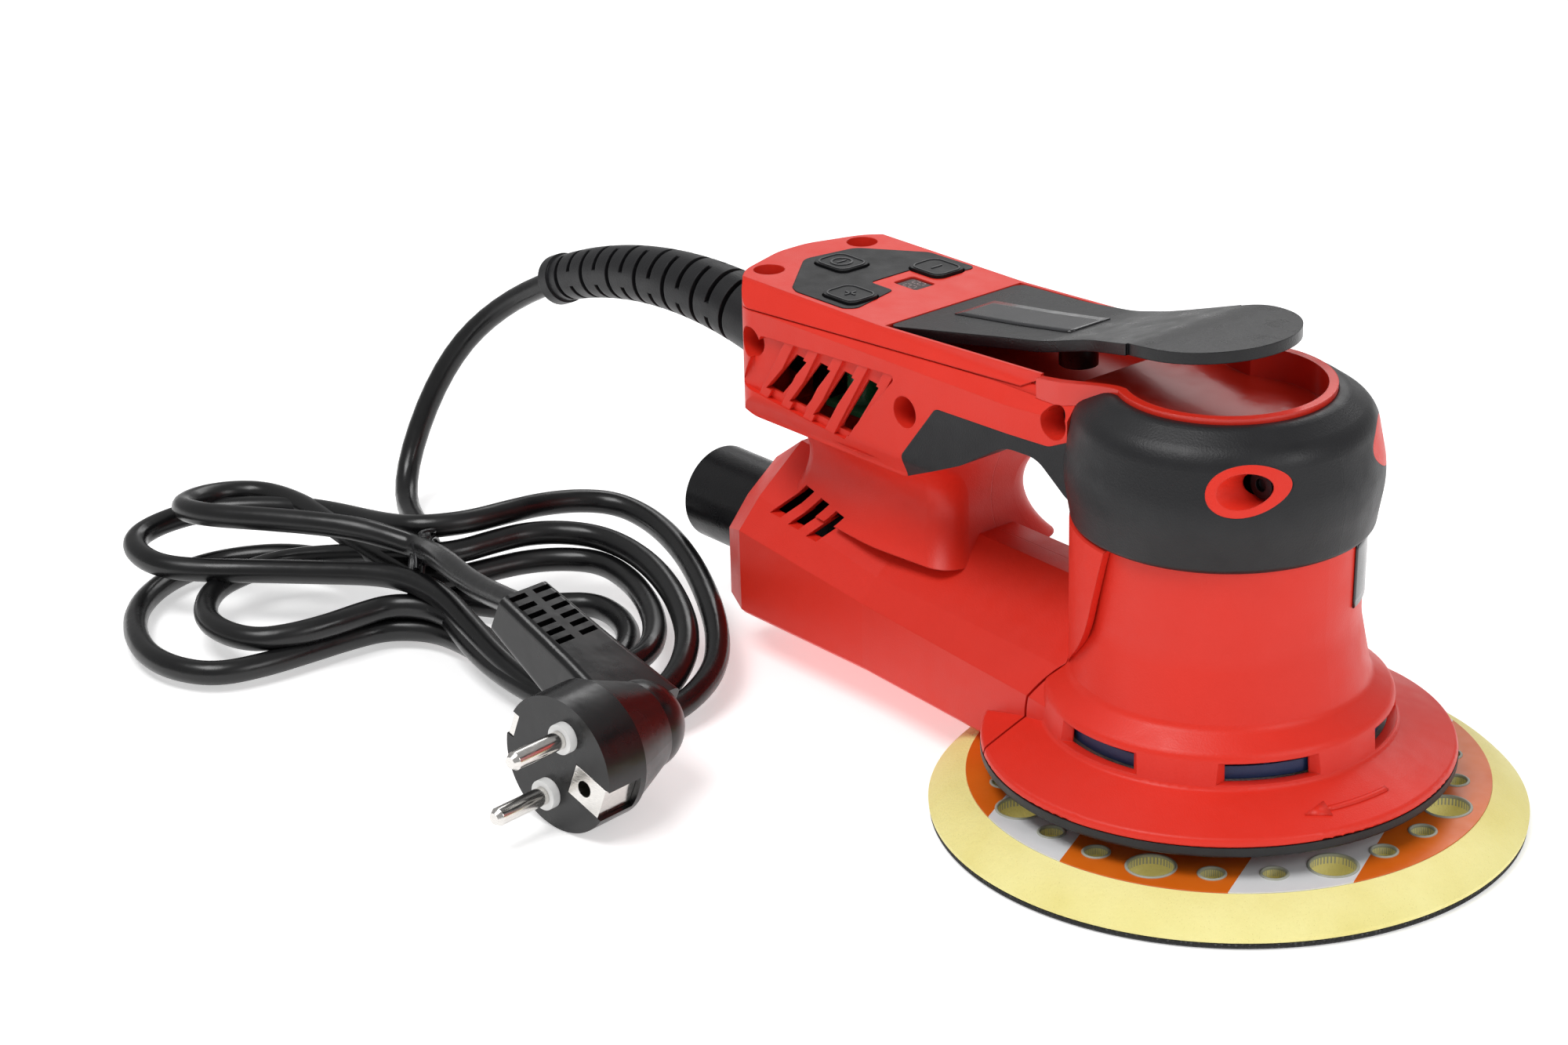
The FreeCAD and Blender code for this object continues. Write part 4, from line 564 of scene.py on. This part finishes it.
# ------------------------------------------------------------ pad
def make_pad(finishes):
    crown = []
    steps = 9
    for k in range(steps + 1):
        share = k / steps
        radius = PAD_RADIUS - 0.2 - (PAD_RADIUS - PAD_TOP_RADIUS - 0.3) * share
        bulge = 1.1 * math.sin(math.pi * share)
        crown.append((radius + bulge * 0.5, 3.0 + (FOAM_TOP - 3.0) * share + bulge * 0.45))
    profile = [(0.01, FOAM_BOTTOM), (PAD_RADIUS - 0.9, FOAM_BOTTOM),
               (PAD_RADIUS - 0.3, FOAM_BOTTOM + 0.5)] + crown
    profile += [(PAD_TOP_RADIUS - 0.2, FOAM_TOP - 0.2), (0.01, FOAM_TOP - 0.2)]
    foam = mesh_piece("pad_foam_body", *lathe(profile, PAD_CENTRE, 256), finishes["pad_foam"], "pad",
                      "pad_foam")
    drill(foam, -1, 12)
    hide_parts("pad_foam")
    edge = PAD_RADIUS - 0.5
    layer = [(0.01, 0.0), (edge - 0.4, 0.0), (edge, 0.5), (edge - 0.1, FOAM_BOTTOM), (0.01, FOAM_BOTTOM)]
    hook = mesh_piece("pad_hook_layer", *lathe(layer, PAD_CENTRE, 256), finishes["hook"], "pad", "hook")
    drill(hook, -1, 12, 0.1)
    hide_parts("pad_hook")
    rims = []
    for x, y, radius in hole_places():
        ring = [(radius - 0.05, LABEL_TOP - 0.4), (radius + 0.7, LABEL_TOP - 0.4),
                (radius + 0.7, LABEL_TOP + 0.1), (radius + 0.45, LABEL_TOP + 0.3),
                (radius + 0.1, LABEL_TOP + 0.3), (radius - 0.05, LABEL_TOP + 0.1)]
        rims.append(lathe(ring, (x, y), 40))
    mesh_piece("pad_hole_rims", *merge(rims), finishes["nylon"], "pad", "nylon")


# ------------------------------------------------------------ small details on the CAD pieces
def flat_outline(corners, bottom, top):
    """Upright block over a plan outline; corners and heights in metres."""
    count = len(corners)
    verts = [Vector((x, y, z)) for z in (bottom, top) for x, y in corners]
    faces = [tuple(range(count - 1, -1, -1)), tuple(range(count, 2 * count))]
    faces += [(i, (i + 1) % count, count + (i + 1) % count, count + i) for i in range(count)]
    return verts, faces


def rounded_corners(centre, size, radius, steps=6):
    """Plan outline of a rounded rectangle."""
    points = []
    for number, (sx, sy) in enumerate(((1, 1), (-1, 1), (-1, -1), (1, -1))):
        for k in range(steps + 1):
            turn = math.pi / 2 * (number + k / steps)
            points.append((centre[0] + sx * (size[0] / 2 - radius) + radius * math.cos(turn),
                           centre[1] + sy * (size[1] / 2 - radius) + radius * math.sin(turn)))
    return points


def plan_ring(outer, inner, bottom, top):
    """Upright ring between two plan outlines with the same number of points."""
    count = len(outer)
    verts = [Vector((x, y, z)) for z in (bottom, top) for loop in (outer, inner) for x, y in loop]
    faces = []
    for i in range(count):
        j = (i + 1) % count
        outer_low, inner_low, outer_top, inner_top = 0, count, 2 * count, 3 * count
        faces.append((outer_low + i, outer_low + j, outer_top + j, outer_top + i))
        faces.append((inner_low + j, inner_low + i, inner_top + i, inner_top + j))
        faces.append((outer_top + i, outer_top + j, inner_top + j, inner_top + i))
        faces.append((outer_low + j, outer_low + i, inner_low + i, inner_low + j))
    return verts, faces


def bar(centre, size, bottom, top):
    return flat_outline(rounded_corners(centre, size, min(size) * 0.4, 3), bottom, top)


def top_of(node):
    low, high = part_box(node)
    centre = ((low[0] + high[0]) / 2, (low[1] + high[1]) / 2)
    return centre, (high[0] - low[0], high[1] - low[1]), high[2]


def make_button_marks(finishes):
    """Raised outline and sign on each button."""
    for node, body in (("power_button", "power"), ("plus_button", "plus"), ("minus_button", "minus")):
        centre, size, top = top_of(node)
        size = (size[0] - 3.4 * MM, size[1] - 3.4 * MM)
        outer = rounded_corners(centre, size, 2.9 * MM)
        inner = rounded_corners(centre, (size[0] - 0.9 * MM, size[1] - 0.9 * MM), 2.5 * MM)
        low = top - 0.1 * MM
        high = top + 0.22 * MM
        shapes = [plan_ring(outer, inner, low, high)]
        if node == "power_button":
            turns = [2 * math.pi * k / 32 for k in range(32)]
            loops = [[(centre[0] + r * MM * math.cos(t), centre[1] + r * MM * math.sin(t)) for t in turns]
                     for r in (3.1, 2.5)]
            shapes.append(plan_ring(loops[0], loops[1], low, high))
            shapes.append(bar(centre, (0.6 * MM, 3.4 * MM), low, high))
        else:
            shapes.append(bar(centre, (0.6 * MM, 3.8 * MM), low, high))
        if node == "plus_button":
            shapes.append(bar(centre, (3.8 * MM, 0.6 * MM), low, high))
        mesh_piece(node + "_marks", *merge(shapes), finishes["mark"], body, "panel")


def make_display_digits(finishes):
    """Seven-segment frame that shows through the smoked window: two eights."""
    centre, size, top = top_of("display_window")
    shapes = []
    for digit in (-1, 1):
        y = centre[1] + digit * 1.6 * MM
        for row in (-1, 0, 1):
            shapes.append(bar((centre[0] + row * 2.0 * MM, y), (0.35 * MM, 1.5 * MM), top - 0.05 * MM,
                              top + 0.04 * MM))
        for row in (-0.5, 0.5):
            for side in (-1, 1):
                place = (centre[0] + row * 2.0 * MM, y + side * 0.95 * MM)
                shapes.append(bar(place, (1.5 * MM, 0.35 * MM), top - 0.05 * MM, top + 0.04 * MM))
    mesh_piece("display_digits", *merge(shapes), finishes["digit"], "housing", "window")


def make_lever_label(finishes):
    """Blank dark plate on the lever: a strip that follows its top."""
    tree = BVHTree.FromPolygons([v.co for v in NODES["lever"].data.vertices],
                                [tuple(p.vertices) for p in NODES["lever"].data.polygons])
    verts = []
    columns = 24
    rows = 6
    for i in range(columns + 1):
        for j in range(rows + 1):
            x = -0.088 + 0.042 * i / columns
            y = -0.0070 + 0.0140 * j / rows
            hit = tree.ray_cast(Vector((x, y, 0.2)), Vector((0, 0, -1)))
            verts.append(hit[0] + Vector((0, 0, 0.00025)))
    width = rows + 1
    faces = [(i * width + j, (i + 1) * width + j, (i + 1) * width + j + 1, i * width + j + 1)
             for i in range(columns) for j in range(rows)]
    label = mesh_piece("lever_label", verts, faces, finishes["label_dark"], "paddle", "panel")
    thick = label.modifiers.new("thick", "SOLIDIFY")
    thick.thickness = 0.0003


def neck_patch(name, start, end, low, high, material, slot):
    """Thin plate wrapped on the front of the neck, between two angles and two heights."""
    verts = []
    columns = 12
    rows = 8
    for i in range(columns + 1):
        turn = math.radians(start + (end - start) * i / columns)
        for j in range(rows + 1):
            z = low + (high - low) * j / rows
            radius = NECK_RADIUS + NECK_TAPER * (z - NECK_BOTTOM) + 0.12
            verts.append(Vector((radius * math.cos(turn), radius * math.sin(turn), z)) * MM)
    width = rows + 1
    faces = [(i * width + j, (i + 1) * width + j, (i + 1) * width + j + 1, i * width + j + 1)
             for i in range(columns) for j in range(rows)]
    plate = mesh_piece(name, verts, faces, material, "housing", slot)
    thick = plate.modifiers.new("thick", "SOLIDIFY")
    thick.thickness = 0.0004
    thick.offset = 1.0


def make_turn_arrow(finishes):
    """Raised arrow on the flange that shows which way the motor turns."""
    tree = BVHTree.FromPolygons([v.co for v in NODES["motor_housing"].data.vertices],
                                [tuple(p.vertices) for p in NODES["motor_housing"].data.polygons])

    def on_flange(radius, degrees, lift):
        turn = math.radians(degrees)
        place = Vector((radius * math.cos(turn) * MM, radius * math.sin(turn) * MM, 0.06))
        return tree.ray_cast(place, Vector((0, 0, -1)))[0] + Vector((0, 0, lift * MM))

    steps = 16
    verts = []
    for k in range(steps + 1):
        degrees = ARROW_HEAD + 20 * k / steps
        verts += [on_flange(52.0, degrees, 0), on_flange(53.3, degrees, 0)]
    faces = [(2 * k, 2 * k + 1, 2 * k + 3, 2 * k + 2) for k in range(steps)]
    tip = [on_flange(50.4, ARROW_HEAD, 0), on_flange(54.8, ARROW_HEAD, 0), on_flange(53.2, ARROW_HEAD - 7, 0)]
    outline = merge([(verts, faces), (tip, [(0, 2, 1)])])
    arrow = mesh_piece("turn_arrow", *outline, finishes["red_plastic"], "housing", "red_plastic",
                       smooth=False)
    thick = arrow.modifiers.new("thick", "SOLIDIFY")
    thick.thickness = 0.0008
    thick.offset = 0.0


make_camera()
FINISHES = make_materials()
dress_nodes(FINISHES)
make_cord(FINISHES)
make_pad(FINISHES)
make_button_marks(FINISHES)
make_display_digits(FINISHES)
make_lever_label(FINISHES)
neck_patch("neck_badge", 19, 42, 61, 78, FINISHES["label_dark"], "panel")
make_turn_arrow(FINISHES)
make_studio()
